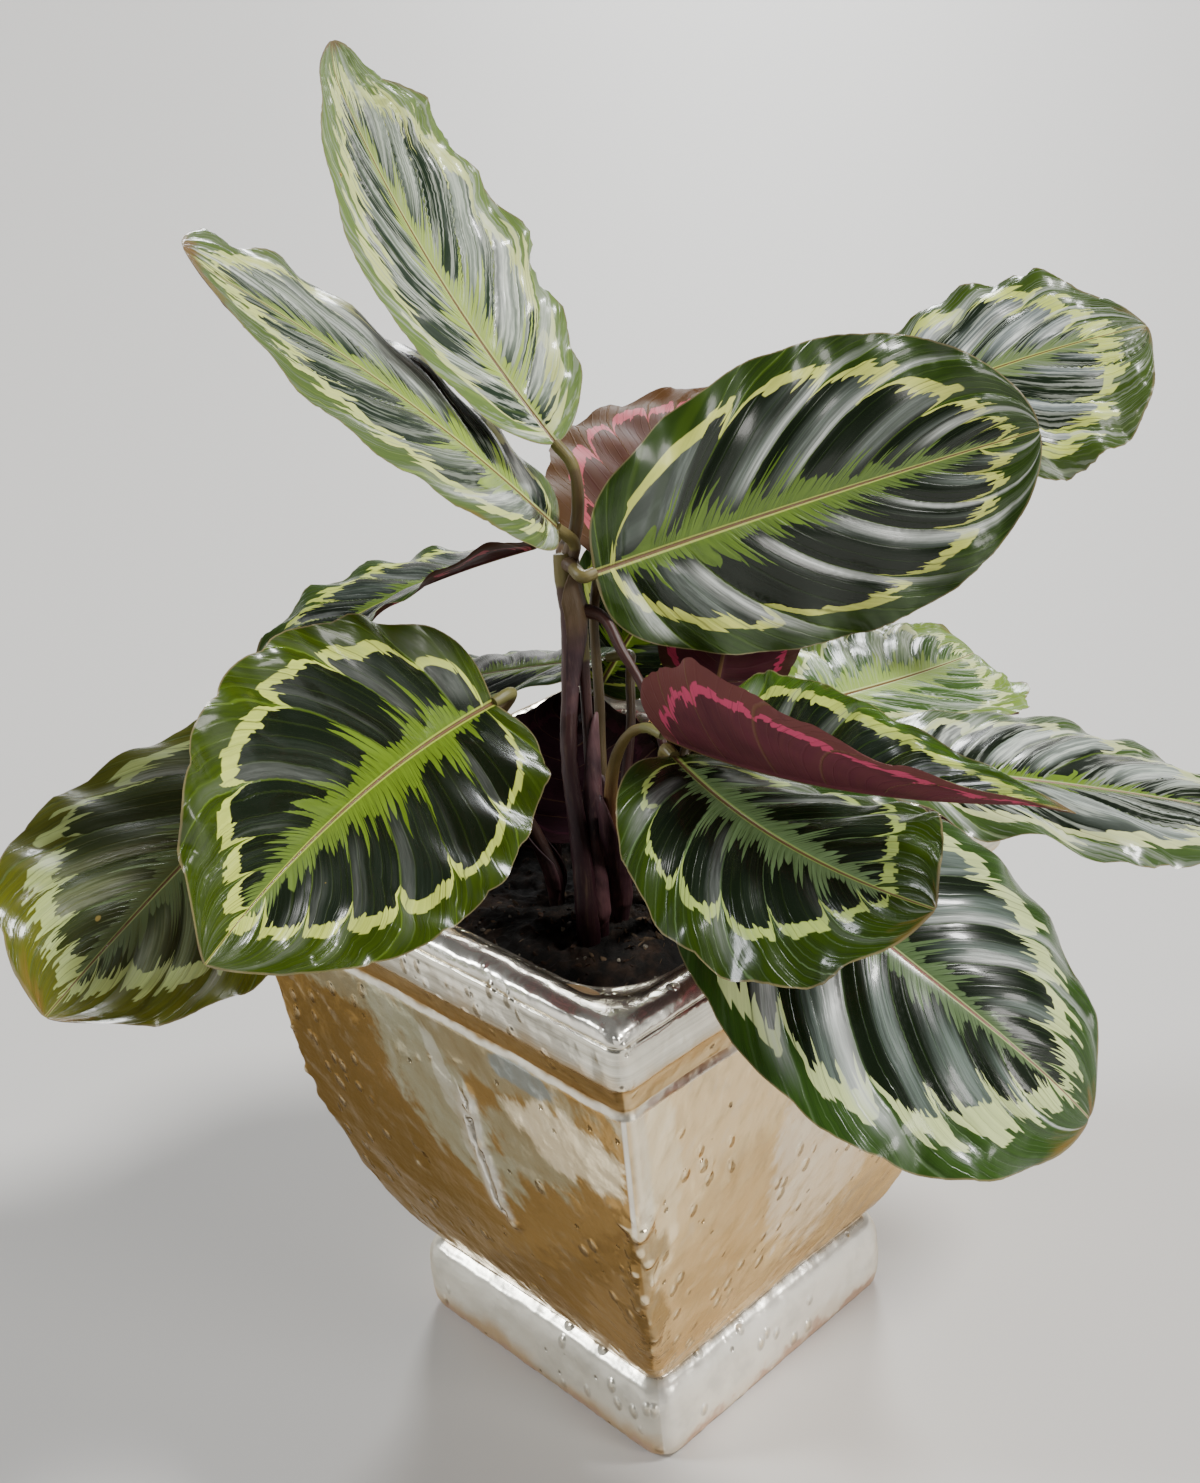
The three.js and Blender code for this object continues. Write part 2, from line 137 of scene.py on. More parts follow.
def store(tree, geometry, name, value, kind="FLOAT", domain="POINT"):
    return add(tree, "GeometryNodeStoreNamedAttribute", settings={"data_type": kind, "domain": domain},
               Geometry=geometry, Name=name, Value=value)


def stored(tree, name, kind="FLOAT"):
    return add(tree, "GeometryNodeInputNamedAttribute", settings={"data_type": kind}, Name=name)


def finishTree(tree, sink, geometry, skin):
    real = add(tree, "GeometryNodeRealizeInstances", Geometry=geometry)
    plug(tree, sink.inputs[0], add(tree, "GeometryNodeSetMaterial", Geometry=real, Material=skin))


def layered(tree, colour, *layers):               # each layer is a mask and the colour laid on where it is 1
    for mask, over in layers:
        node = tree.nodes.new("ShaderNodeMix")
        node.data_type = "RGBA"
        for index, value in ((0, mask), (6, colour), (7, over)):
            plug(tree, node.inputs[index], value)
        colour = Wire(tree, node.outputs[2])
    return colour


def newTree(name, kind, inputs, outputs):         # inputs and outputs are names under each kind of socket
    tree = bpy.data.node_groups.new(name, kind)
    for way, kinds in (("INPUT", inputs), ("OUTPUT", outputs)):
        for socketKind, labels in kinds.items():
            for label in labels:
                tree.interface.new_socket(label, in_out=way, socket_type="NodeSocket" + socketKind)
    source, sink = tree.nodes.new("NodeGroupInput"), tree.nodes.new("NodeGroupOutput")
    return tree, wiresOf(tree, source), sink


def wiresOf(tree, node):                          # the node's outputs by name
    return Values({socket.name: Wire(tree, socket) for socket in node.outputs if socket.name})


def placeGroup(tree, group, values):
    node = tree.nodes.new("ShaderNodeGroup")
    node.node_tree = group
    for socket in node.inputs:
        plug(tree, socket, values[socket.name])
    return wiresOf(tree, node)


def newMaterial(name, **settings):
    material = bpy.data.materials.new(name)
    material.use_nodes = True
    shader = material.node_tree.nodes["Principled BSDF"]
    for label, value in settings.items():
        plug(material.node_tree, shader.inputs[label.replace("_", " ")], value)
    return material, material.node_tree, shader


def dress(tree, shader, colour, roughness, height, strength, depth):
    plug(tree, shader.inputs["Base Color"], colour)
    plug(tree, shader.inputs["Roughness"], roughness)
    plug(tree, shader.inputs["Normal"], add(tree, "ShaderNodeBump", Height=height, Strength=strength,
                                            Distance=depth))


def newMesh(name, points, faces, skin):
    mesh = bpy.data.meshes.new(name)
    mesh.from_pydata(points, [], faces)
    mesh.shade_smooth()
    mesh.materials.append(skin)
    return mesh


def addObject(name, data):
    thing = bpy.data.objects.new(name, data)
    bpy.context.scene.collection.objects.link(thing)
    return thing


def addPiece(name, mesh, node):
    piece = addObject(name, mesh)
    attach(piece, "root")
    if node:
        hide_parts(node)
    return piece


def finished(host, *tools):
    # The plain mesh that the host's modifiers give. The host and its tools are removed.
    mesh = bpy.data.meshes.new_from_object(host.evaluated_get(bpy.context.evaluated_depsgraph_get()))
    for thing in (host, *tools):
        bpy.data.objects.remove(thing)
    return mesh


def grown(mesh, tree, values):
    # The plain mesh that a geometry tree makes of mesh with the given inputs.
    host = addObject("host", mesh)
    modifier = host.modifiers.new("shape", "NODES")
    modifier.node_group = tree
    for item in tree.interface.items_tree:
        if item.in_out == "INPUT" and item.name in values:
            value = values[item.name]
            modifier[item.identifier] = float(value) if item.socket_type == "NodeSocketFloat" else value
    return finished(host)


# Leaf blades. s runs along the midrib from the base, and across from the midrib to the margin, left positive.
# The midrib is a curve whose heading and rise change steadily, so its points have a closed form.

bladeGrid = {"rows": 140, "columns": 57}
bladeForm = {
    "wavesAlong": 5.5, "thickness": 0.55, "ribHeight": 0.9, "grooveDepth": 0.35, "ribWidth": 1.1,
    "skew": 0.81, "fullBase": 0.62, "fullTip": 0.76, "lobe": 0.028, "sweep": 0.11,
    "veins": 8, "veinSweep": 0.42, "ribbing": 0.8, "ragged": 0.012, "frill": 2.4,
    "buckle": 5, "stirLeft": 1, "stirRight": 1, "hook": 0, "scallop": 0.02,
}
ageing = {                                        # how each blade has grown away from the plain form
    "crown": {"ragged": 0.05, "frill": 6, "veinSweep": 0.62, "ribbing": 1.6, "stirLeft": 0.2, "hook": 4,
              "length": 148.8, "fullTip": 0.62, "scallop": 0.03},
    "upper_left": {"ragged": 0.045, "frill": 4.5, "veinSweep": 0.6, "ribbing": 1.4, "stirLeft": 0.15,
                   "hook": 2, "fullTip": 0.6},
    "back_right": {"ragged": 0.035, "frill": 5, "veinSweep": 0.55, "ribbing": 1.3, "length": 147.6},
    "far_right": {"ragged": 0.03, "frill": 7, "veinSweep": 0.52, "ribbing": 1.4, "stirLeft": 0.5,
                  "scallop": 0.04},
    "pale_right": {"ragged": 0.05, "frill": 8, "veinSweep": 0.5, "ribbing": 1.5, "scallop": 0.05},
    "mid_left": {"ragged": 0.03, "frill": 3.5},
    "front_left": {"ragged": 0.016, "frill": 5, "wave": 2.2, "scallop": 0.035},
    "upper_right": {"ragged": 0.014, "frill": 3.6, "veinSweep": 0.54, "ribbing": 1.1, "scallop": 0.01},
    "low_left": {"ragged": 0.014, "frill": 3, "veinSweep": 0.5, "length": 166.5},
    "back_left": {"length": 119.5},
    "folded": {"ragged": 0.006, "frill": 3, "hook": -6, "length": 151.6},
    "front_right": {"ragged": 0.02, "frill": 4.5},
    "low_right": {"ragged": 0.014, "frill": 3, "veinSweep": 0.48},
}

leaves = {
    "crown": {"base": (-17, -5, 354), "length": 151, "half": 40, "heading": 188, "turn": 22, "rise": 45,
              "droop": -28, "roll": -9, "twist": 4, "fold": (16, 17), "curl": (-6, -3), "wave": 2.2,
              "lobe": 0},
    "upper_left": {"base": (-15, -9, 326), "length": 160, "half": 43, "heading": -110, "turn": 18, "rise": 50,
                   "droop": 15, "roll": -29, "twist": -4, "fold": (6, 9), "curl": (-8, -15), "wave": 2},
    "upper_right": {"base": (-2, -6, 312), "length": 171, "half": 53, "heading": 71, "turn": -16, "rise": 7,
                    "droop": -3, "roll": 86, "twist": -9, "fold": (8, 6), "curl": (-14, -7), "wave": 1.5,
                    "fullTip": 0.55},
    "back_right": {"base": (-34, 143, 312), "length": 148, "half": 52, "heading": 34, "turn": 30, "rise": 29,
                   "droop": 26, "roll": 25, "twist": 5, "fold": (-4, -1), "curl": (1, -19), "wave": 2,
                   "skew": 0.9, "sweep": 0.17},
    "back_centre": {"base": (-14, 12, 307), "length": 147, "half": 49, "heading": 113, "turn": -9, "rise": 12,
                    "droop": 2, "roll": -127, "twist": -28, "fold": (9, 8), "curl": (0, 16), "wave": 1.8},
    "mid_left": {"base": (-48, 13, 308), "length": 122, "half": 41, "heading": -140, "turn": 12, "rise": -13,
                 "droop": 18, "roll": 21, "twist": -36, "fold": (10, 7), "curl": (-4, 0), "wave": 1.5},
    "front_left": {"base": (-14, -45, 275), "length": 145, "half": 57, "heading": -83, "turn": 10, "rise": 0,
                   "droop": 19, "roll": -46, "twist": -10, "fold": (24, 24), "curl": (12, -7), "wave": 1.6},
    "low_left": {"base": (-84, -59, 260), "length": 167, "half": 52, "heading": -86, "turn": 28, "rise": -21,
                 "droop": -19, "roll": -19, "twist": -19, "fold": (6, 2), "curl": (6, -11), "wave": 1.8},
    "back_left": {"base": (-27, 22, 266), "length": 120, "half": 42, "heading": -159, "turn": -18,
                  "rise": -12, "droop": 11, "roll": 3, "twist": -20, "fold": (3, 2), "curl": (-4, -18),
                  "wave": 1.2},
    "folded": {"base": (42, -22, 270), "length": 153, "half": 36, "heading": -10, "turn": 19, "rise": 2,
               "droop": -13, "roll": 20, "twist": 17, "fold": (7, 74), "curl": (1, 24), "wave": 2,
               "fullBase": 0.69, "fullTip": 0.95, "sweep": -0.2},
    "front_right": {"base": (54, -30, 269), "length": 111, "half": 46, "heading": -17, "turn": 21,
                    "rise": -12, "droop": -13, "roll": -10, "twist": 47, "fold": (3, 6),
                    "curl": (-23, -14), "wave": 1.6},
    "low_right": {"base": (65, -16, 249), "length": 157, "half": 58, "heading": -22, "turn": 72, "rise": -8,
                  "droop": 46, "roll": 20, "twist": 28, "fold": (5, 8), "curl": (-28, -3), "wave": 1.6,
                  "fullTip": 0.66},
    "far_right": {"base": (63, 56, 235), "length": 176, "half": 51, "heading": 49, "turn": 13, "rise": -9,
                  "droop": 15, "roll": 9, "twist": -8, "fold": (11, 12), "curl": (-10, -14), "wave": 2},
    "pale_right": {"base": (14, 82, 236), "length": 137, "half": 46, "heading": 83, "turn": 24, "rise": -7,
                   "droop": 7, "roll": 18, "twist": 20, "fold": (10, 12), "curl": (-29, 7), "wave": 2.2},
    "inner_right": {"base": (15, 31, 252), "length": 91, "half": 29, "heading": 120, "turn": 0, "rise": 33,
                    "droop": 24, "roll": -154, "twist": 0, "fold": (8, 8), "curl": (-3, -2), "wave": 1},
    "inner_left": {"base": (-17, -8, 206), "length": 71, "half": 34, "heading": 139, "turn": 0, "rise": 39,
                   "droop": 21, "roll": 175, "twist": 1, "fold": (12, 9), "curl": (3, -2), "wave": 1},
    "inner_back": {"base": (-69, 55, 230), "length": 103, "half": 36, "heading": 90, "turn": -1, "rise": 43,
                   "droop": 21, "roll": 38, "twist": -1, "fold": (5, 10), "curl": (-7, 0), "wave": 1.2},
}


bladeAngles = ["heading", "turn", "rise", "droop", "roll", "twist", "foldLeft", "foldRight", "curlLeft",
               "curlRight"]
bladeBuild = Values({                             # the same for every blade
    "crowding": 0.13, "firstRow": 0.0005, "rowSpan": 0.9975,      # rows lie closer at the base and the tip
    "columnPower": 1.4, "leanPower": 1.3, "lobeAt": 0.06, "beside": 0.01,
    "nickPitch": 34, "nickPower": 0.7, "bayPitch": 1.5, "baysEnd": 0.85, "plainBase": (0.02, 0.2),
    "veinPower": 1.05, "veinWander": 1.3, "wanderPitch": 6, "veinShift": 0.23, "veinStart": 0.4,
    "waveLag": 1.7, "crossRibs": 0.25, "ribFade": 0.7, "unrestPitch": 18, "bucklePitch": 3.4,
    "baseTaper": 8, "tipTaper": 6, "hookFrom": 0.9, "hookPitch": 10,
    "closeAcross": 12, "closeAlong": 40, "blunt": 0.08, "ribTaper": 0.75,
    "mergeGap": 0.004, "creaseAngle": 1.2,
})


def swing(start, change, x):
    # The integral of cos(start + change * x) and of the sine, from 0 to x.
    halfTurn = (change * x * 0.5).abs() + 1e-4
    sinc = halfTurn.sin() / halfTurn
    middle = start + change * x * 0.5
    return x * middle.cos() * sinc, x * middle.sin() * sinc


def bladeOutline(given, at):
    # How far up the blade the margin lies for the share at of the midrib, and how far out.
    full = at.blend(given.fullBase, given.fullTip)
    lobe = given.lobe * (at / bladeBuild.lobeAt) * (1 - at / bladeBuild.lobeAt).exp()
    reach = given.half * ((at ** given.skew) * math.pi).sin().max(1e-9) ** full
    return (at + given.sweep * (at * math.pi).sin() - lobe).min(1), reach


def bladeLift(tree, given, s, side, a, x, vein):
    # How far waves, ribs, flutter and buckles raise a point, and how its side is folded and curled.
    fixed = bladeBuild
    fold, curl, stir = (side.above(0).blend(given[label + "Right"], given[label + "Left"])
                        for label in ("fold", "curl", "stir"))
    taper = ((1 - s) * fixed.tipTaper).min(s * fixed.baseTaper + 0.1).min(1)
    ripple = (x * given.wavesAlong * math.tau + side * fixed.waveLag + given.wavePhase).sin()
    quilt = (vein * math.pi).sin().abs() * 2 - 1 + (vein * 3 * math.pi).sin().abs() * fixed.crossRibs
    ribs = quilt * given.ribbing * a.step(0.03, 0.3) * (1 - a.step(0.6, 1) * fixed.ribFade)
    unrest = grain(tree, (s * fixed.unrestPitch, side * 5 + given.seed, a * 1.2), 1, 2) - 0.5
    flutter = ((vein + unrest * 0.7) * math.tau).sin() * 0.3 + unrest * 0.6
    buckle = (grain(tree, (s * fixed.bucklePitch, side * a * 1.6 + given.seed, 4), 1, 1) - 0.5) * a
    lift = taper * (ripple * given.wave * stir * a * a + ribs + flutter * stir * a * a * a * given.frill
                    + buckle * given.buckle)
    return lift + given.hook * ((s - fixed.hookFrom).max(0) * fixed.hookPitch) ** 2, fold, curl


def bladePlace(tree, given, x, across, lift):
    # The point on the midrib's curve at x, and the blade's cross-section turned into place there.
    length = given.length
    rise = given.rise - given.droop * x
    sumX, sumY = swing(given.heading + given.rise, given.turn - given.droop, x)
    gapX, gapY = swing(given.heading - given.rise, given.turn + given.droop, x)
    riseY = swing(given.rise, -given.droop, x)[1]
    baseX, baseY, baseZ = unpack(tree, given.base)
    turnTo = add(tree, "FunctionNodeEulerToRotation",
                 Euler=pack(tree, given.roll + given.twist * x, -rise, given.heading + given.turn * x))
    turned = add(tree, "FunctionNodeRotateVector", Vector=pack(tree, 0, across, lift), Rotation=turnTo)
    outX, outY, outZ = unpack(tree, turned)
    return pack(tree, (baseX + (sumX + gapX) * length * 0.5 + outX) * mm,
                (baseY + (sumY + gapY) * length * 0.5 + outY) * mm, (baseZ + riseY * length + outZ) * mm)


def buildBladeTree():
    tree, given, sink = newTree("bladeShape", "GeometryNodeTree", {
        "Float": bladeAngles + ["length", "half", "wave", "wavePhase", "seed"] + list(bladeForm),
        "Vector": ["base"], "Int": list(bladeGrid), "Material": ["upper", "under"],
    }, {"Geometry": ["Geometry"]})
    grid = add(tree, "GeometryNodeMeshGrid", Size_X=1, Size_Y=1, Vertices_X=given.rows,
               Vertices_Y=given.columns)
    flatX, flatY, flatZ = unpack(tree, add(tree, "GeometryNodeInputPosition"))
    fixed = bladeBuild
    t = flatX + 0.5
    s = (t - (t * math.tau).sin() * fixed.crowding) * fixed.rowSpan + fixed.firstRow
    side = (flatY * 1e6).max(-1).min(1)
    a = (flatY * side * 2).min(1) ** fixed.columnPower              # 0 on the midrib, 1 at the margin

    # the outline, with nicks and a shallow bay between every two veins
    marginAt, reach = bladeOutline(given, s)
    nick = grain(tree, (s * fixed.nickPitch, flatY * 2e6 + given.seed, 0), 1, 2, 0.7)
    nick = ((nick - 0.5).abs() * 2).clamp() ** fixed.nickPower
    bays = s * (1 - given.veinSweep) * given.veins * fixed.bayPitch * math.pi + side + given.seed
    bays = (1 - bays.sin().abs()) ** 2 * given.scallop * s.fall(fixed.baysEnd, 1)
    reach = reach * (1 - (nick * given.ragged + bays) * s.step(*fixed.plainBase))
    x = s + (marginAt - s) * a ** fixed.leanPower
    y = reach * a
    before, after = (bladeOutline(given, at) for at in ((s - fixed.beside).max(0), (s + fixed.beside).min(1)))
    slope = (after[1] - before[1]) / ((after[0] - before[0]).max(1e-4) * given.length)
    edge = reach * (1 - a) / (slope * slope + 1).sqrt()             # the distance to the margin

    # where the lateral veins run: whole numbers of vein, counted unevenly from the base on each side
    root = s * (1 - given.veinSweep * a ** fixed.veinPower)
    wander = grain(tree, (root * fixed.wanderPitch, side * 3 + given.seed, 0), 1, 1)
    vein = root * given.veins + (wander - 0.5) * fixed.veinWander + side * fixed.veinShift + fixed.veinStart
    lift, fold, curl = bladeLift(tree, given, s, side, a, x, vein)
    tilt = fold + curl * y / given.half
    place = bladePlace(tree, given, x, side * y * tilt.cos(), y * tilt.sin() + lift)
    skin = store(tree, grid, "bladeSpot", pack(tree, s, a * side, vein), "FLOAT_VECTOR")
    skin = store(tree, skin, "bladeSize", pack(tree, edge, y, given.half), "FLOAT_VECTOR")
    middle = add(tree, "GeometryNodeSetPosition", Geometry=skin, Position=place)

    # two skins, closed at the margin; the spot on the blade is read back, as the grid has left its flat place
    s, across, vein = unpack(tree, stored(tree, "bladeSpot", "FLOAT_VECTOR"))
    y = unpack(tree, stored(tree, "bladeSize", "FLOAT_VECTOR"))[1]
    closing = ((1 - across.abs()) * fixed.closeAcross).min(((s - fixed.firstRow) * fixed.closeAlong).abs())
    closing = closing.min((1 - s) * fixed.closeAlong - fixed.blunt).clamp() ** 0.5
    rib = (-((y / given.ribWidth) ** 2)).exp() * (1 - s * fixed.ribTaper)
    above = closing * (given.thickness * 0.5 - given.grooveDepth * rib) * mm
    below = closing * (given.thickness * 0.5 + given.ribHeight * rib) * mm
    normal = add(tree, "GeometryNodeInputNormal")
    skins = []
    for amount, isUnder in ((above, False), (-below, True)):
        raised = add(tree, "ShaderNodeVectorMath", settings={"operation": "SCALE"}, Vector=normal,
                     Scale=amount)
        moved = add(tree, "GeometryNodeSetPosition", Geometry=middle, Offset=raised)
        if isUnder:
            moved = add(tree, "GeometryNodeFlipFaces", Mesh=moved)
        skins.append(store(tree, moved, "isUnder", isUnder, "BOOLEAN", "FACE"))
    join = tree.nodes.new("GeometryNodeJoinGeometry")
    for piece in reversed(skins):
        tree.links.new(piece.socket, join.inputs[0])
    closed = add(tree, "GeometryNodeMergeByDistance", Geometry=Wire(tree, join.outputs[0]),
                 Distance=fixed.mergeGap * mm)
    smooth = add(tree, "GeometryNodeSetShadeSmooth", Geometry=closed, Shade_Smooth=True)
    crisp = add(tree, "GeometryNodeSetShadeSmooth", settings={"domain": "EDGE"}, Geometry=smooth,
                Selection=add(tree, "GeometryNodeInputMeshEdgeAngle").above(fixed.creaseAngle),
                Shade_Smooth=False)
    real = add(tree, "GeometryNodeRealizeInstances", Geometry=crisp)
    real = add(tree, "GeometryNodeSetMaterial", Geometry=real, Material=given.upper)
    plug(tree, sink.inputs[0], add(tree, "GeometryNodeSetMaterial", Geometry=real, Material=given.under,
                                   Selection=stored(tree, "isUnder", "BOOLEAN")))
    return tree


def addBlade(name, leaf, tree, materials):
    values = {**bladeGrid, **bladeForm, **leaf, "upper": materials[0], "under": materials[1]}
    for label in ("fold", "curl"):
        values[label + "Left"], values[label + "Right"] = leaf[label]
    values.update({label: math.radians(values[label]) for label in bladeAngles})
    values.update(wavePhase=leaf["length"], seed=sum(map(ord, name)) * 0.37, **ageing.get(name, {}))
    addPiece("blade_" + name, grown(bpy.data.meshes.new("host"), tree, values), "leaf_" + name)


# Leaf markings. A ring runs inside the margin, drawn inwards at each lateral vein, and a feathered band lies
# along the midrib. Both end in teeth that run with the veins.

markings = {
    "ringAt": 0.19, "ringWidth": 2, "ringTeeth": 1, "cusp": 0.8, "innerWidth": 0.2, "innerTeeth": 1,
    # satin: the colour of the painted sheen bands laid between the veins
    "field": (0.005, 0.011, 0.003), "satin": (0.045, 0.062, 0.045), "inner": (0.17, 0.28, 0.02),
    "ring": (0.72, 0.82, 0.15), "margin": (0.045, 0.088, 0.007), "rib": (0.19, 0.11, 0.05),
    "underField": (0.085, 0.022, 0.03), "underRing": (0.6, 0.13, 0.17), "underMargin": (0.09, 0.04, 0.025),
    # pale, gloss and glint: how strongly a painted whitish sheen, the painted sheen bands and painted glints
    # are laid on
    "brown": 0, "pale": 0, "gloss": 0.28, "glint": 0.3, "tip": 0, "spots": 0, "specular": 0.32, "coat": 0.3,
}
skinTones = {                                     # colours that every leaf shares
    # glint and sheen are the colours of a painted highlight and a painted sheen
    "innerTip": (0.13, 0.17, 0.09), "glint": (0.92, 0.96, 0.92), "sheen": (0.88, 0.94, 0.82),
    "aged": (0.2, 0.12, 0.025), "withered": (0.26, 0.15, 0.04), "dead": (0.11, 0.05, 0.025),
    "spotEdge": (0.4, 0.3, 0.07), "spot": (0.14, 0.06, 0.03), "rim": (0.25, 0.2, 0.1),
    "underShade": (0.035, 0.014, 0.018),
}
brush = Values({                                  # how rings and bands are brushed, in veins or millimetres
    "strokes": 9, "wobble": 0.22, "thread": (0.72, 0.98), "cuspPower": 3.5, "cuspFrom": (0.03, 0.24),
    "soft": 0.22, "innerSoft": 0.3, "outerTeeth": 1.9, "inwardTeeth": 2.4, "sectorShift": 0.3,
    "feather": 0.34, "tipFeather": 0.6, "ribNarrows": 0.72, "ribHalf": (0.55, 0.8), "ribEdge": (1.2, 1.7),
    "panel": (0.3, 0.6), "panelEnd": (0.86, 0.98), "glintAt": 0.88, "glintWidth": 5, "rimWidth": (0.2, 0.6),
})
markNames = ["seed", "ringAt", "ringWidth", "ringTeeth", "cusp", "innerWidth", "innerTeeth"]
maskNames = ["ring", "inner", "margin", "midrib", "ribEdge", "veinLine", "fineLine", "satin", "glint", "rim",
             "streak"]
skinOutputs = {"Color": ["colour"], "Float": ["roughness", "height"]}


def buildMarks():
    tree, given, sink = newTree("bladeMarks", "ShaderNodeTree", {"Float": markNames}, {"Float": maskNames})
    s, across, vein = unpack(tree, attribute(tree, "bladeSpot", 1))
    edge, y, half = unpack(tree, attribute(tree, "bladeSize", 1))
    a = across.abs()
    shift = across.above(0) * 40 + given.seed * 100
    part = vein.fract()
    wobble = (grain(tree, (vein * 3, a * 4, shift), 1, 2) - 0.5) * brush.wobble
    fine = (vein + wobble * 0.35) * brush.strokes
    sector, tooth, otherTooth = (lot(tree, number) for number in
                                 (vein + shift, fine + shift, fine * 1.37 + shift + 19))
    offCentre = (fine.fract() * 2 - 1).abs()
    point = (1 - offCentre) ** 0.6
    gap = offCentre.step(*brush.thread)             # the dark thread between two strokes of colour
    cusp = (1 - (vein * math.pi).sin().abs()) ** brush.cuspPower * s.step(*brush.cuspFrom)

    # the ring, between an outer and an inner edge, in millimetres from the margin
    soft = brush.soft
    middle = given.ringAt * half * (1 + given.cusp * cusp + (sector - 0.5) * brush.sectorShift)
    wide = given.ringWidth * (0.55 + sector * 0.8) * (1 - cusp * 0.55) * (s.step(0.02, 0.22) * 0.6 + 0.4)
    outer = middle - wide - (tooth - 0.5) * given.ringTeeth * brush.outerTeeth
    inward = middle + wide + (otherTooth ** 2) * point * given.ringTeeth * brush.inwardTeeth
    ring = edge.step(outer - soft, outer + soft) * edge.fall(inward - soft, inward + soft)
    ring = ring * (1 - gap * otherTooth.step(0.3, 0.8) * 0.6)
    margin = edge.fall(outer - soft, outer + soft)

    # the feathered band along the midrib, longest on the tip side of each vein
    taper = s.step(0.01, 0.22) * s.fall(0.25, 1.02) ** 0.75
    feather = brush.feather + brush.tipFeather * (1 - part) ** 1.5
    feather = feather + given.innerTeeth * point * (tooth * tooth * 1.5 + 0.12)
    reachIn = given.innerWidth * half * taper * (0.75 + sector * 0.5) * feather
    inner = y.fall(reachIn - brush.innerSoft, reachIn + brush.innerSoft) * (1 - margin)
    inner = inner * (1 - gap * (y / (reachIn + 0.01)).step(0.35, 0.8) * 0.75)

    # the midrib, which narrows to the tip, and the lines of the veins, which keep their width
    narrow = 1 - s * brush.ribNarrows
    midrib, ribEdge = (y.fall(low * narrow, high * narrow) for low, high in (brush.ribHalf, brush.ribEdge))
    ribEdge = ribEdge * (1 - midrib)
    veinLine = (vein * math.pi).sin().abs().fall(0.02, 0.1) * a.step(0.02, 0.1)
    fineLine = (vein * math.pi * 5).sin().abs().fall(0.05, 0.3) * a.step(0.02, 0.12)

    # painted sheen bands (satin) lie on the tip side of most panels between veins, and a painted glint runs
    # along a few of the veins
    bands = grain(tree, (vein * 2.1, a * 0.9, shift), 1, 1) - 0.5
    satin = (part + bands * 0.5).step(*brush.panel) * (part + bands * 0.3).fall(*brush.panelEnd)
    satin = satin * (sector + bands * 0.8).step(0.25, 0.45) * a.step(0.05, 0.3)
    glint = (1 - (part + bands * 0.14 - brush.glintAt).abs() * brush.glintWidth).clamp()
    glint = glint * lot(tree, vein + shift + 5).step(0.4, 0.5)
    glint = glint * a.step(0.1, 0.35) * a.fall(0.75, 0.98) * (bands + 0.75).clamp()
    streak = grain(tree, (vein * 14, a * 2.5, shift), 1, 3, 0.65)
    rim = edge.fall(*brush.rimWidth)
    masks = (ring, inner, margin, midrib, ribEdge, veinLine, fineLine, satin, glint, rim, streak)
    for name, mask in zip(maskNames, masks):
        plug(tree, sink.inputs[name], mask)
    return tree


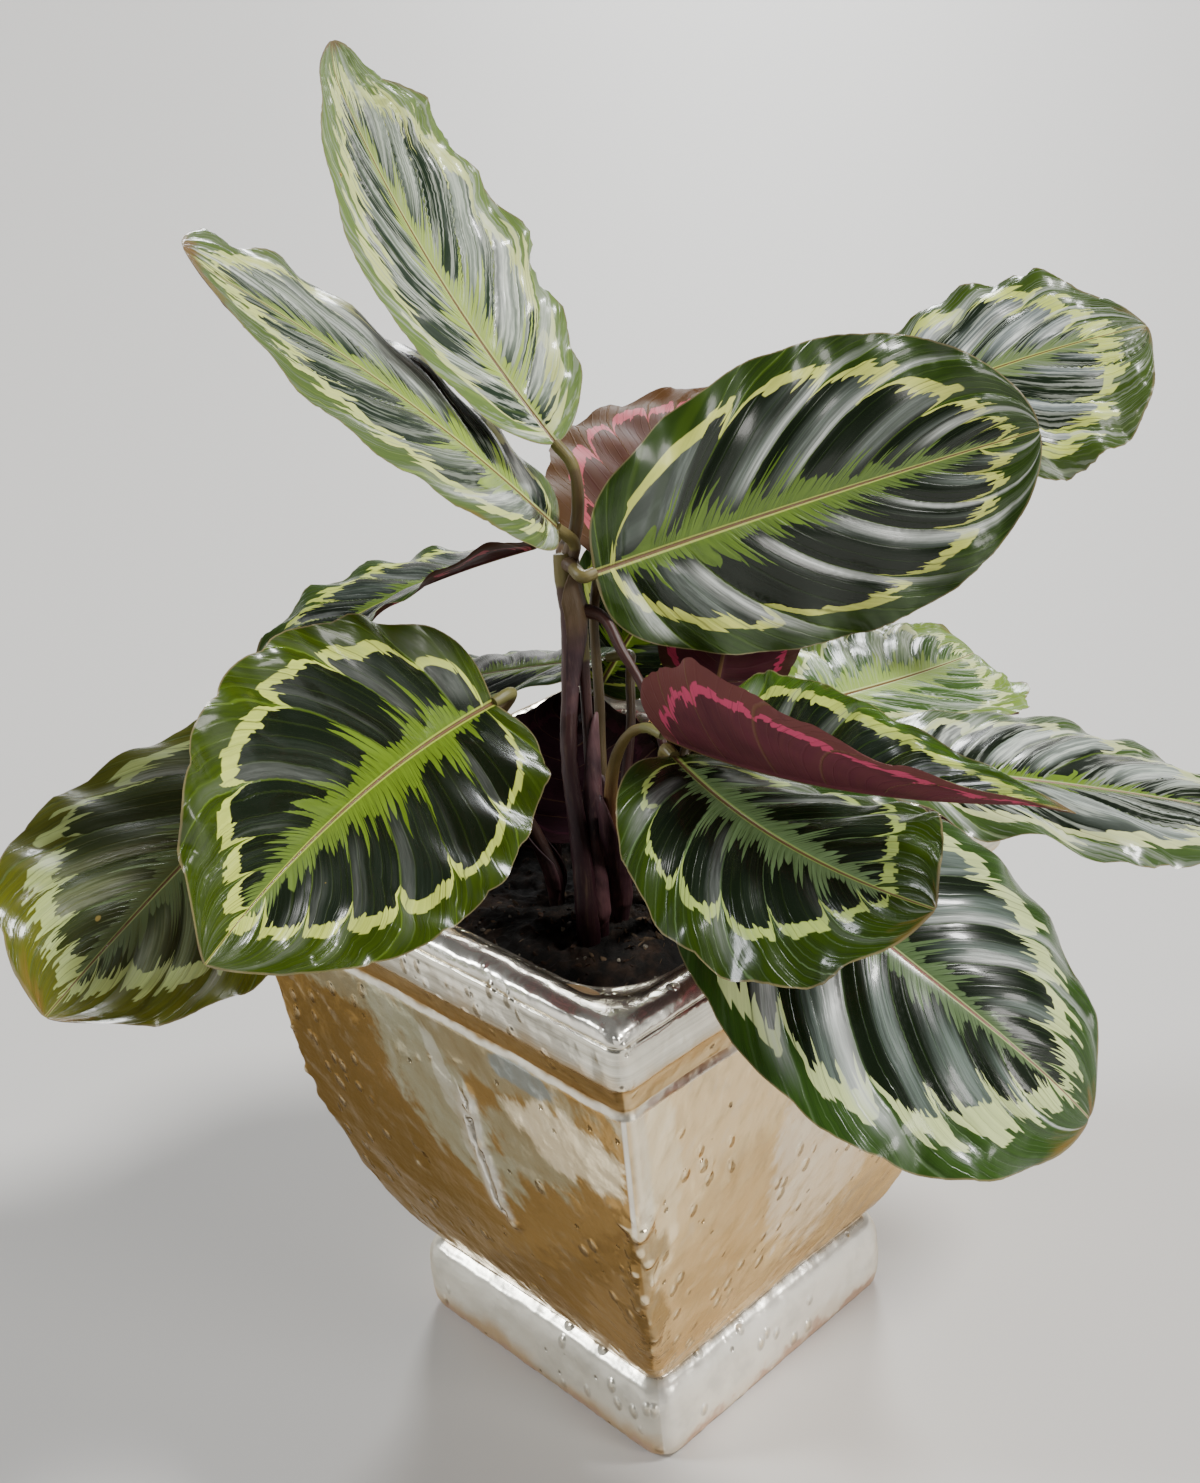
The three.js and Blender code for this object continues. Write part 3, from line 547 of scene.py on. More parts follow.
def buildUpperSkin(marksGroup):
    tree, given, sink = newTree("upperSkin", "ShaderNodeTree", {
        "Float": markNames + ["brown", "pale", "gloss", "glint", "tip", "spots"],
        "Color": ["field", "satin", "inner", "ring", "margin", "rib"]}, skinOutputs)
    marks = placeGroup(tree, marksGroup, given)
    s, across, vein = unpack(tree, attribute(tree, "bladeSpot", 1))
    edge, y, half = unpack(tree, attribute(tree, "bladeSize", 1))
    streak = marks.streak.step(0.3, 0.7)
    brushed = marks.streak.step(0.32, 0.66) * 0.6 + 0.4
    inner = layered(tree, given.inner, (streak * 0.5, given.margin),
                    (s.step(0.4, 0.95) * 0.45, skinTones["innerTip"]))
    margin = layered(tree, given.margin, (streak * 0.45, given.field), (marks.fineLine * 0.15, given.inner))
    ring = layered(tree, given.ring, (streak * 0.3, given.inner))
    # sheen: streaks of painted whitish sheen, weaker on the margin, the band and the ring
    sheen = marks.streak.step(0.48, 0.6) * (1 - marks.margin * 0.5) * (1 - marks.inner * 0.7)
    sheen = sheen * (1 - marks.ring * 0.6)
    # the satin bands and the glints laid on here are painted sheen and painted highlights
    colour = layered(
        tree, given.field, (marks.satin * given.gloss * brushed, given.satin),
        (marks.fineLine * 0.22, given.margin), (marks.inner, inner), (marks.margin, margin),
        (marks.ring, ring), (marks.veinLine * 0.35, given.inner),
        (marks.glint * given.glint * brushed, skinTones["glint"]), (given.pale * sheen, skinTones["sheen"]),
        (marks.ribEdge * 0.6, given.ring), (marks.midrib, given.rib))

    # age browns the margin in patches, then the tip, and leaves a few dead spots with a yellow edge
    patches = grain(tree, (s * 7, across * 3, given.seed), 1, 3)
    nearTip = s.step(0.86, 1) * 0.3
    aged = patches * 0.9 + given.brown * (0.35 + nearTip) - edge / half * 1.6
    withered = (s + given.tip + (patches - 0.5) * 0.08).step(1, 1.03)
    spot = add(tree, "ShaderNodeTexVoronoi", Vector=pack(tree, s * 7, across * 3, given.seed * 9), Scale=1)
    chosen = grain(tree, (s * 5, across * 2, given.seed + 8), 1, 0).step(0.53, 0.56)
    size = given.spots * chosen * 0.055
    colour = layered(
        tree, colour, (aged.step(0.6, 0.85) * marks.margin, skinTones["aged"]),
        (withered * 0.85, layered(tree, skinTones["withered"], (streak, skinTones["dead"]))),
        (spot.fall(size, size + 0.02) * chosen, skinTones["spotEdge"]),
        (spot.fall(size * 0.5, size * 0.5 + 0.01) * chosen, skinTones["spot"]),
        (marks.rim * 0.7, skinTones["rim"]))
    plug(tree, sink.inputs["colour"], colour)
    plug(tree, sink.inputs["roughness"], 0.19 + 0.14 * marks.streak + 0.1 * marks.ring)
    groove = marks.midrib * -0.4 - marks.veinLine * 0.25 - marks.fineLine * 0.18
    plug(tree, sink.inputs["height"], groove + marks.streak * 0.35)
    return tree


def buildUnderSkin(marksGroup):
    tree, given, sink = newTree("underSkin", "ShaderNodeTree", {
        "Float": markNames, "Color": ["underField", "underRing", "underMargin", "rib"]}, skinOutputs)
    marks = placeGroup(tree, marksGroup, given)
    s, across, vein = unpack(tree, attribute(tree, "bladeSpot", 1))
    shade = grain(tree, (s * 5, across * 2.5, given.seed), 1, 2).step(0.35, 0.65)
    colour = layered(
        tree, given.underField, (shade * 0.45, skinTones["underShade"]),
        (marks.margin * 0.8, given.underMargin), (marks.streak.step(0.25, 0.75) * 0.4, given.underMargin),
        (marks.ring * 0.92, given.underRing),
        (marks.veinLine * 0.4, given.rib), (marks.midrib, given.rib))
    plug(tree, sink.inputs["colour"], colour)
    plug(tree, sink.inputs["roughness"], 0.5 + 0.15 * marks.streak)
    plug(tree, sink.inputs["height"], marks.veinLine * 0.6 + marks.fineLine * 0.3 + marks.streak * 0.3)
    return tree


def finishSkin(name, group, look, settings, bumpDepth):
    material, tree, shader = newMaterial(name, **settings)
    skin = placeGroup(tree, group, look)
    dress(tree, shader, skin.colour, skin.roughness, skin.height, 0.6, bumpDepth)
    return material


def skinPair(name, changes, seed, groups):
    look = {**markings, **changes, "seed": seed}
    upper = finishSkin("leafUpper_" + name, groups[0], look, {
        "Specular_IOR_Level": look["specular"], "Coat_Weight": look["coat"], "Coat_Roughness": 0.1}, 0.0006)
    look["ringWidth"] *= 0.7                        # the ring is narrower underneath
    under = finishSkin("leafUnder_" + name, groups[1], look, {"Specular_IOR_Level": 0.12}, 0.0005)
    return upper, under


# pale, satin, gloss and glint in each look set its painted sheen and painted highlights, and the light
# margins of crown, upper_left and pale_right are the leaf's green made paler by painted sheen
looks = {
    "crown": {"pale": 0.42, "field": (0.022, 0.04, 0.022), "ring": (0.72, 0.78, 0.3),
              "margin": (0.17, 0.26, 0.07), "inner": (0.46, 0.6, 0.12), "ringWidth": 1.7, "ringTeeth": 3,
              "innerTeeth": 1.7, "innerWidth": 0.15, "brown": 0.2, "satin": (0.54, 0.62, 0.52),
              "gloss": 0.9, "glint": 0.9, "tip": 0.03, "spots": 0.5},
    "upper_left": {"pale": 0.2, "field": (0.014, 0.028, 0.014), "ring": (0.72, 0.78, 0.26),
                   "margin": (0.11, 0.17, 0.045), "inner": (0.34, 0.48, 0.07), "ringWidth": 1.8,
                   "ringTeeth": 2.8, "innerTeeth": 1.6, "innerWidth": 0.15, "brown": 0.45,
                   "satin": (0.3, 0.35, 0.28), "gloss": 0.8, "glint": 0.9, "tip": 0.05, "spots": 1},
    "upper_right": {"margin": (0.03, 0.065, 0.006), "innerWidth": 0.16, "innerTeeth": 1.4, "ringTeeth": 1.7,
                    "ringAt": 0.2, "inner": (0.14, 0.24, 0.022), "satin": (0.2, 0.235, 0.21), "gloss": 0.7,
                    "glint": 0.95, "ring": (0.7, 0.74, 0.16), "ringWidth": 1.6, "coat": 0.2},
    "back_right": {"pale": 0.3, "field": (0.012, 0.022, 0.01), "margin": (0.055, 0.1, 0.012),
                   "ringWidth": 2.4, "ringTeeth": 2.2, "brown": 0.3, "inner": (0.2, 0.28, 0.1),
                   "satin": (0.44, 0.5, 0.5), "gloss": 0.85, "glint": 0.9, "tip": 0.02, "spots": 0.8,
                   "coat": 0.15},
    "back_centre": {"underField": (0.11, 0.034, 0.018), "underRing": (0.56, 0.11, 0.14),
                    "underMargin": (0.09, 0.042, 0.01), "ringWidth": 3.8, "ringAt": 0.24},
    "mid_left": {"ringWidth": 1.3, "ringTeeth": 2.2, "margin": (0.045, 0.09, 0.012), "pale": 0.04,
                 "satin": (0.2, 0.25, 0.22)},
    "front_left": {"margin": (0.05, 0.088, 0.004), "innerWidth": 0.19, "ringWidth": 1.9, "innerTeeth": 1.2,
                   "satin": (0.055, 0.075, 0.055), "glint": 0.14},
    "low_left": {"brown": 0.4, "field": (0.034, 0.048, 0.009), "inner": (0.13, 0.2, 0.07),
                 "ring": (0.52, 0.62, 0.2), "margin": (0.13, 0.14, 0.01), "ringWidth": 2.2, "ringTeeth": 2.4,
                 "satin": (0.26, 0.3, 0.15), "gloss": 0.6, "tip": 0.008, "glint": 0.5, "spots": 1},
    "back_left": {"ringWidth": 1.5, "ringTeeth": 2, "ring": (0.42, 0.52, 0.22),
                  "margin": (0.04, 0.09, 0.02), "specular": 0.12, "coat": 0},
    "folded": {"underField": (0.125, 0.03, 0.045), "underRing": (0.56, 0.07, 0.15),
               "underMargin": (0.15, 0.05, 0.045), "margin": (0.07, 0.15, 0.012), "ringWidth": 1.8,
               "cusp": 0.3, "brown": 0.4, "tip": 0.05},
    "front_right": {"inner": (0.19, 0.3, 0.12), "ring": (0.46, 0.58, 0.13), "margin": (0.03, 0.06, 0.004),
                    "ringWidth": 1.15, "ringAt": 0.22, "brown": 0.28, "innerTeeth": 1.4, "innerWidth": 0.17,
                    "gloss": 0.2, "tip": 0.02, "specular": 0.26, "coat": 0.18},
    "low_right": {"ringWidth": 2.8, "ringTeeth": 2.8, "ring": (0.66, 0.76, 0.32), "inner": (0.12, 0.19, 0.08),
                  "innerWidth": 0.12, "rib": (0.3, 0.14, 0.11), "margin": (0.035, 0.085, 0.01), "brown": 0.3,
                  "satin": (0.25, 0.32, 0.28), "gloss": 0.6, "glint": 0.7, "tip": 0.02, "spots": 1},
    "far_right": {"pale": 0.3, "ring": (0.7, 0.74, 0.36), "innerWidth": 0.1, "rib": (0.36, 0.17, 0.15),
                  "ringWidth": 2.4, "ringTeeth": 2.6, "margin": (0.06, 0.11, 0.025),
                  "satin": (0.5, 0.57, 0.52), "gloss": 0.9, "glint": 0.9},
    "pale_right": {"pale": 0.3, "field": (0.05, 0.11, 0.02), "margin": (0.22, 0.34, 0.05),
                   "inner": (0.36, 0.5, 0.12), "ring": (0.75, 0.82, 0.36), "ringTeeth": 2.5,
                   "satin": (0.52, 0.64, 0.42), "gloss": 0.9, "glint": 0.6, "specular": 0.2, "coat": 0.08},
    "inner_right": {"underField": (0.085, 0.018, 0.03), "underRing": (0.58, 0.06, 0.14)},
    "inner_left": {"underField": (0.035, 0.012, 0.022), "underRing": (0.07, 0.02, 0.035),
                   "underMargin": (0.04, 0.016, 0.02)},
    "inner_back": {"margin": (0.045, 0.1, 0.02)},
}

marksGroup = buildMarks()
skinGroups = (buildUpperSkin(marksGroup), buildUnderSkin(marksGroup))
bladeTree = buildBladeTree()
for number, (leafName, leafValues) in enumerate(leaves.items()):
    skins = skinPair(leafName, looks.get(leafName, {}), number * 0.137 + 0.05, skinGroups)
    addBlade(leafName, leafValues, bladeTree, skins)
print("blades made:", len(leaves))


# Stalks: routes of [x, y, z, radius]. Each stands upright in the soil and runs straight into its blade.

stalkForm = {
    "soilLevel": 184, "rootLevels": (-22, -9, 6, 11), "stepsPerSpan": 8, "sides": 20,
    "knotting": 0.35, "knotPitch": 140, "kneeSwell": 0.12, "kneeEnds": (0.009, 0.012),
    "kneeLength": 9, "kneeGap": 0.5, "bladeStart": 0.006,
}

stalks = {
    "back_right": {"foot": (-4, 18), "via": ((-6, 30, 214), (-14, 62, 243), (-22, 95, 262), (-34, 125, 291)),
                   "radius": (2.6, 1.8)},
    "back_centre": {"foot": (0, -4), "via": ((-8, -3, 232), (-12, 2, 262), (-15, 5, 290)),
                    "radius": (2.6, 1.8)},
    "front_left": {"foot": (-20, -19), "via": ((-25, -19, 205), (-31, -24, 225), (-30, -33, 255)),
                   "radius": (3, 2)},
    "low_left": {"foot": (-38, -4), "via": ((-50, -16, 204), (-66, -34, 228)), "radius": (2.8, 1.9)},
    "back_left": {"foot": (-6, 3), "via": ((-6, 5, 220), (-9, 14, 248), (-14, 20, 265)),
                  "radius": (2.4, 1.8)},
    "folded": {"foot": (8, -14), "via": ((10, -18, 220), (15, -19, 250), (26, -21, 266)),
               "radius": (3.2, 1.6),
               "kneeGap": 1},
    "low_right": {"foot": (24, -10), "via": ((32, -11, 215), (48, -12, 245)), "radius": (2.8, 2)},
    "far_right": {"foot": (20, 4), "via": ((30, 20, 212), (48, 40, 234)), "radius": (2.8, 1.9)},
    "pale_right": {"foot": (5, 14), "via": ((7, 30, 212), (12, 60, 238)), "radius": (2.6, 1.8)},
    "inner_right": {"foot": (11, 3), "via": ((16, 12, 215), (20, 22, 240)), "radius": (2.4, 1.6)},
    "inner_left": {"foot": (-12, -12), "via": (), "radius": (2.4, 1.6)},
    "inner_back": {"foot": (-26, 14), "via": ((-36, 22, 204), (-60, 42, 214)), "radius": (2.4, 1.6)},
}

shoot = {
    "sheaths": (
        ((10, -32, 190, 4.2), (4, -27, 217, 3.6), (-4, -22, 248, 2.9), (-9, -14, 274, 3), (-12, -8, 294, 4.6),
         (-15, -7, 306, 3.6), (-17, -6, 316, 2.8)),
        ((9, -25, 190, 3), (1, -17, 231, 2.1), (-6, -10, 265, 1.9), (-10, -6, 290, 2.2)),
    ),
    "branches": {
        "crown": ((-16, -5, 312, 2.6), (-13, -1, 330, 2.2)),
        "upper_left": ((-16, -6, 310, 2.6),),
        "upper_right": ((-16, -6, 313, 2.6), (-10, -8, 313, 2.3)),
        "mid_left": ((-16, -5, 310, 2.4), (-27, 3, 312, 2.1)),
        "front_right": ((-10, -5, 297, 2.6), (-2, -3, 295, 2), (8, -5, 286, 1.8), (17, -6, 277, 1.6),
                        (26, -9, 268, 1.5), (35, -15, 261, 1.5), (43, -24, 263, 1.5)),
    },
}
kneeLengths = {"upper_right": 4, "front_right": 4}


def rootRoute(x, y, radius):
    return [(x, y, stalkForm["soilLevel"] + z, radius) for z in stalkForm["rootLevels"]]


def kneeRoute(name, radius):
    # The last two points, in line with the blade's midrib, one before its base and one close to it.
    leaf = leaves[name]
    heading, rise = math.radians(leaf["heading"]), math.radians(leaf["rise"])
    along = Vector((math.cos(heading) * math.cos(rise), math.sin(heading) * math.cos(rise), math.sin(rise)))
    gap = stalks.get(name, {}).get("kneeGap", stalkForm["kneeGap"]) - stalkForm["bladeStart"] * leaf["length"]
    start, base = kneeLengths.get(name, stalkForm["kneeLength"]), Vector(leaf["base"])
    return [(*(base - along * start), radius), (*(base - along * gap), radius * 0.9)]


def between(first, second, low, high, at):
    return (first * (high - at) + second * (at - low)) / (high - low)


def smoothRoute(route, steps):
    # A centripetal spline through the route's points; the radius changes evenly between them.
    spots = [Vector(point[:3]) for point in route]
    spots = [spots[0] * 2 - spots[1]] + spots + [spots[-1] * 2 - spots[-2]]
    points, radii = [], []
    for k in range(len(route) - 1):
        four, knots = spots[k:k + 4], [0.0]
        for first, second in zip(four, four[1:]):
            knots.append(knots[-1] + max((second - first).length, 1e-4) ** 0.5)
        for j in range(steps + (k == len(route) - 2)):
            at = knots[1] + (knots[2] - knots[1]) * j / steps
            threes = [between(four[i], four[i + 1], knots[i], knots[i + 1], at) for i in range(3)]
            pair = [between(threes[i], threes[i + 1], knots[i], knots[i + 2], at) for i in range(2)]
            points.append(between(*pair, knots[1], knots[2], at))
            radii.append(route[k][3] + (route[k + 1][3] - route[k][3]) * j / steps)
    return points, radii


def buildStalkTree():
    tree, given, sink = newTree("stalkTube", "GeometryNodeTree", {
        "Geometry": ["Geometry"], "Int": ["sides"], "Float": ["knotting"], "Material": ["skin"],
    }, {"Geometry": ["Geometry"]})
    curve = add(tree, "GeometryNodeMeshToCurve", Mesh=given.Geometry)
    knots = grain(tree, add(tree, "GeometryNodeInputPosition"), stalkForm["knotPitch"]) - 0.5
    toBlade = add(tree, "GeometryNodeSplineLength") - add(tree, "GeometryNodeSplineParameter", 1)
    curve = store(tree, curve, "along", add(tree, "GeometryNodeSplineParameter"))
    curve = store(tree, curve, "toBlade", toBlade / mm)
    knee = toBlade.fall(*stalkForm["kneeEnds"]) * stalkForm["kneeSwell"]
    swell = 1 + knee + knots * given.knotting
    curve = add(tree, "GeometryNodeSetCurveRadius", Curve=curve, Radius=stored(tree, "thick") * swell)
    ring = add(tree, "GeometryNodeCurvePrimitiveCircle", Resolution=given.sides, Radius=1)
    ring = store(tree, ring, "round", add(tree, "GeometryNodeSplineParameter"))
    tube = add(tree, "GeometryNodeCurveToMesh", Curve=curve, Profile_Curve=ring, Fill_Caps=True,
               Scale=add(tree, "GeometryNodeInputRadius"))
    smooth = add(tree, "GeometryNodeSetShadeSmooth", Geometry=tube, Shade_Smooth=True)
    finishTree(tree, sink, smooth, given.skin)
    return tree


def addTubes(name, routes, node, tree, skin):
    points, edges, thick = [], [], []
    for route in routes:
        spots, radii = smoothRoute(route, stalkForm["stepsPerSpan"])
        edges += [(len(points) + k, len(points) + k + 1) for k in range(len(spots) - 1)]
        points += [spot * mm for spot in spots]
        thick += [radius * mm for radius in radii]
    mesh = bpy.data.meshes.new(name)
    mesh.from_pydata(points, edges, [])
    mesh.attributes.new("thick", "FLOAT", "POINT").data.foreach_set("value", thick)
    values = {"sides": stalkForm["sides"], "knotting": stalkForm["knotting"], "skin": skin}
    addPiece(name, grown(mesh, tree, values), node)


stalkLook = {
    "foot": (0.022, 0.006, 0.009), "middle": (0.05, 0.018, 0.016), "top": (0.11, 0.075, 0.03),
    "knee": (0.17, 0.16, 0.05), "streak": (0.16, 0.11, 0.06), "turns": (0.35, 0.75), "softness": 0.15,
}
stalkChanges = {
    "main": {"middle": (0.05, 0.016, 0.014), "top": (0.12, 0.08, 0.035), "knee": (0.16, 0.13, 0.04),
             "turns": (0.5, 0.9)},
    "back_centre": {"middle": (0.06, 0.045, 0.022), "turns": (0.2, 0.5)},
    "folded": {"middle": (0.11, 0.03, 0.016), "top": (0.17, 0.125, 0.04), "turns": (0.3, 0.62)},
    "front_left": {"middle": (0.06, 0.03, 0.02)},
    "back_right": {"middle": (0.08, 0.055, 0.03), "turns": (0.15, 0.4)},
    "far_right": {"middle": (0.08, 0.055, 0.03), "turns": (0.2, 0.45)},
}


def stalkSkin(name):
    look = {**stalkLook, **stalkChanges.get(name, {})}
    material, tree, shader = newMaterial("stalk_" + name, Specular_IOR_Level=0.45)
    along, around, toBlade = (attribute(tree, label) for label in ("along", "round", "toBlade"))
    if name == "main":                              # its branches start high up, so its colour goes by height
        along = (unpack(tree, objectPlace(tree))[2] - 0.184) / 0.14
    streak = grain(tree, (around * 14, along * 9, 0), 1, 3, 0.6)
    wander = along + (streak - 0.5) * 0.14
    colour, soft = look["foot"], look["softness"]
    for turn, label in zip(look["turns"], ("middle", "top")):
        colour = layered(tree, colour, (wander.step(turn - soft, turn + soft), look[label]))
    colour = layered(tree, colour, ((toBlade + streak * 2).fall(11, 12.5), look["knee"]),
                     (streak.step(0.5, 0.8) * 0.35, look["streak"]))
    dress(tree, shader, colour, 0.34 + streak * 0.22, streak, 0.5, 0.0006)
    return material


stalkTree = buildStalkTree()
allRoutes = {}
for stalkName, stalk in stalks.items():
    low, high = stalk["radius"]
    count = len(stalk["via"]) + 1
    middle = [(*point, low + (high - low) * (k + 1) / count - 0.3) for k, point in enumerate(stalk["via"])]
    allRoutes[stalkName] = rootRoute(*stalk["foot"], low) + middle + kneeRoute(stalkName, high)
    skin = stalkSkin(stalkName)
    addTubes("stem_" + stalkName, [allRoutes[stalkName]], "stalk_" + stalkName, stalkTree, skin)
print("single stalks made:", len(stalks))
shootRoutes = [rootRoute(*route[0][:2], route[0][3]) + list(route[1:]) for route in shoot["sheaths"]]
shootRoutes += [list(route) + kneeRoute(branch, 2) for branch, route in shoot["branches"].items()]
addTubes("stem_main", shootRoutes, "shoot_main", stalkTree, stalkSkin("main"))
print("main shoot made, with", len(shoot["branches"]), "branches")


# Sheaths: thin open wraps round the stalks, each cut slantwise at its top.
# Each has its stalk, its lowest and highest level, its play, its opening, where that faces, and its flare.

sheathForm = Values({
    "columns": 20, "rows": 28, "stepsPerSpan": 10, "thickness": 0.5, "edgeReach": 0.62, "sunk": 0.75,
    "grip": 0.45, "crimp": 0.25, "edgeCurl": 0.6,
    "dark": (0.028, 0.01, 0.014), "maroon": (0.095, 0.04, 0.045), "dry": (0.12, 0.075, 0.035),
    "rib": (0.16, 0.09, 0.07),
})
sheaths = (
    ("front_left", 184, 218, 0.7, 70, 200, 0.5), ("low_left", 184, 209, 0.6, 80, 140, 0.4),
    ("folded", 184, 240, 0.9, 60, 250, 0.8), ("low_right", 184, 215, 0.6, 80, 20, 0.5),
    ("far_right", 184, 213, 0.6, 90, 330, 0.4), ("back_centre", 184, 236, 0.9, 70, 300, 0.9),
    ("pale_right", 184, 214, 0.6, 80, 90, 0.4), ("back_right", 184, 224, 0.7, 80, 60, 0.5),
    ("main0", 258, 315, 0.7, 150, 40, 1.6), ("main1", 184, 262, 0.9, 80, 20, 0.9),
)


def sheathPoints(spots, radii, low, high, play, opening, facing, flare):
    # Rows of points from the foot of one sheath to its cut edge.
    form = sheathForm
    chosen = [k for k, spot in enumerate(spots) if low <= spot.z <= high]
    points = []
    for i in range(form.rows + 1):
        up = i / form.rows
        for j in range(form.columns + 1):
            turn = j / form.columns
            # the free edges stop lower than the back, and the back rises to a rounded tongue
            reachUp = up * (form.edgeReach + (1 - form.edgeReach) * math.sin(math.pi * turn) ** 0.8)
            at = chosen[0] + reachUp * (chosen[-1] - chosen[0])
            k = min(int(at), chosen[-1] - 1)
            centre = spots[k].lerp(spots[k + 1], at - k)
            along = (spots[k + 1] - spots[k]).normalized()
            side = along.cross(Vector((0, 1, 0.2))).normalized()
            other = along.cross(side)
            angle = math.radians(facing + opening / 2 + (360 - opening) * turn)
            crimp = form.crimp * noise.noise(Vector((turn * 6, at * 0.15, play * 9)))
            radius = radii[k] - form.sunk + (form.grip + play + crimp) * min(1, up * 3) + flare * up ** 3
            radius += form.edgeCurl * max(0, 1 - 9 * min(turn, 1 - turn)) * up
            points.append((centre + (side * math.cos(angle) + other * math.sin(angle)) * radius) * mm)
    return points


def makeSheaths(routes, skin):
    rows, columns = sheathForm["rows"], sheathForm["columns"]
    points, faces = [], []
    for name, *shape in sheaths:
        first = len(points)
        points += sheathPoints(*smoothRoute(routes[name], sheathForm["stepsPerSpan"]), *shape)
        corners = [first + i * (columns + 1) + j for i in range(rows) for j in range(columns)]
        faces += [(a, a + 1, a + columns + 2, a + columns + 1) for a in corners]
    host = addObject("host", newMesh("sheaths", points, faces, skin))
    wall = host.modifiers.new("wall", "SOLIDIFY")
    wall.thickness, wall.offset = sheathForm["thickness"] * mm, 1
    addPiece("stem_sheaths", finished(host), None)


def sheathSkin():
    material, tree, shader = newMaterial("sheathSkin", Specular_IOR_Level=0.4)
    place = objectPlace(tree)
    x, y, z = unpack(tree, place)
    ribs = grain(tree, (x * 900, y * 900, z * 60), 1, 2, 0.6)
    slow = grain(tree, place, 60, 3)
    colour = layered(tree, sheathForm["dark"], (slow.step(0.4, 0.7), sheathForm["maroon"]),
                     ((z + slow * 0.02).step(0.292, 0.31), sheathForm["dry"]),
                     (ribs.step(0.5, 0.8) * 0.3, sheathForm["rib"]))
    dress(tree, shader, colour, 0.4 + ribs * 0.2, ribs, 0.6, 0.0004)
    return material


makeSheaths({**allRoutes, "main0": shootRoutes[0], "main1": shootRoutes[1]}, sheathSkin())
print("sheaths made:", len(sheaths))


# Pot: the levels of a square body as (half width, corner radius, height), smoothed and left uneven by hand.

pot = {
    "footHalf": 66.5, "footHeight": 34, "waistHalf": 59.7, "shoulderHalf": 95.3, "shoulderHeight": 184,
    "rimHalf": 100, "bandBottom": 200, "bandTop": 217.5, "height": 220,
    "openingHalf": 79, "openingCorner": 24, "wall": 10, "floorHeight": 24, "lean": -3,
    "drainRadius": 5, "drainSpread": 24, "drainAngles": (60, 180, 300), "drillSides": 28,
    "bellyPowers": (1.905, 1.409), "cornerSteps": 12, "sideSteps": 84, "bodyRows": 104, "rowPower": 1.25,
    "innerStep": 7, "unevenness": 0.7, "lumpGrowth": 1.3, "lumpReach": 9,
    # noise over the body: waves to a millimetre, where it starts, height
    "slowWaves": ((0.021, (0, 0, 0), 1.3), (0.06, (7, 3, 1), 0.5)), "dimples": (0.16, (2, 9, 4), 0.28),
    "footEdge": (0.4, (0, 0, 0), 1.6), "footEdgeHeight": 7, "crustHeights": (36, 180),
    # lumps of glaze by the front corner: along from it (right side positive), height, half length, half
    # height, rise
    "lumps": (
        (0, 145, 2.5, 3.5, 1.5), (1, 137, 4, 3, 2.4), (5, 140, 3, 2.5, 1.9), (9, 145, 2.6, 3, 1.5),
        (-6, 140, 4.5, 1.7, 1.3), (-11, 146, 3.5, 1.8, 1.1), (0.5, 129, 3, 3, 1.8), (4, 123, 3.5, 2.5, 1.9),
        (-3, 118, 3, 2.2, 1.5), (5, 113, 2.6, 3, 1.5), (0, 105, 3, 4, 1.6), (-4, 99, 2.4, 3, 1),
        (1, 92, 2.5, 4, 1.2), (3, 82, 2.2, 3, 0.9), (0, 72, 2.5, 5, 0.9), (-1, 58, 2, 4, 0.6),
        (34, 145, 2.4, 3.2, 1), (38, 140, 2.2, 3, 0.9), (43, 134, 2.4, 3.4, 1), (28, 141, 2.2, 2.6, 0.7),
        (47, 139, 2, 2.6, 0.8), (31, 136, 2, 2.4, 0.7), (19, 172, 3, 2, 0.7), (53, 128, 2, 2.2, 0.6),
        (24, 150, 2, 2.2, 0.5), (-52, 160, 2, 2.6, 0.8), (-66, 120, 2.2, 2.2, 0.7), (14, 118, 2.4, 5, 0.7),
        (18, 127, 2, 4, 0.7),
        (-77, 160, 2.4, 3.2, 0.9), (-76, 152, 2, 2.4, 1), (-72, 139, 2.2, 3.4, 0.8),      # beads on the run
        (-66, 114, 2, 3, 0.9), (-62, 104, 2.8, 2.6, 1.5),
    ),
    "run": {"x": 19, "lean": 0.11, "low": 104, "high": 163, "width": 3, "rise": 1.8},
}


def bodyHalf(z):
    t = (z - pot["footHeight"]) / (pot["shoulderHeight"] - pot["footHeight"])
    inner, outer = pot["bellyPowers"]
    share = (1 - max(0, 1 - t) ** inner) ** (1 / outer)
    return pot["waistHalf"] + (pot["shoulderHalf"] - pot["waistHalf"]) * share


def innerHalf(z):
    return min(pot["openingHalf"], bodyHalf(max(z, pot["footHeight"] + 8)) - pot["wall"])


def smoothLevels(levels, steps):
    # A cubic curve through the levels, a little tighter than the usual one.
    tightness = 0.4
    made = []
    ends = [levels[0]] + levels + [levels[-1]]
    for k in range(len(levels) - 1):
        before, first, second, after = (Vector(level) for level in ends[k:k + 4])
        for j in range(steps):
            t = j / steps
            made.append(first * (2 * t ** 3 - 3 * t * t + 1) + second * (3 * t * t - 2 * t ** 3)
                        + (second - before) * tightness * (t ** 3 - 2 * t * t + t)
                        + (after - first) * tightness * (t ** 3 - t * t))
    return made + [Vector(levels[-1])]


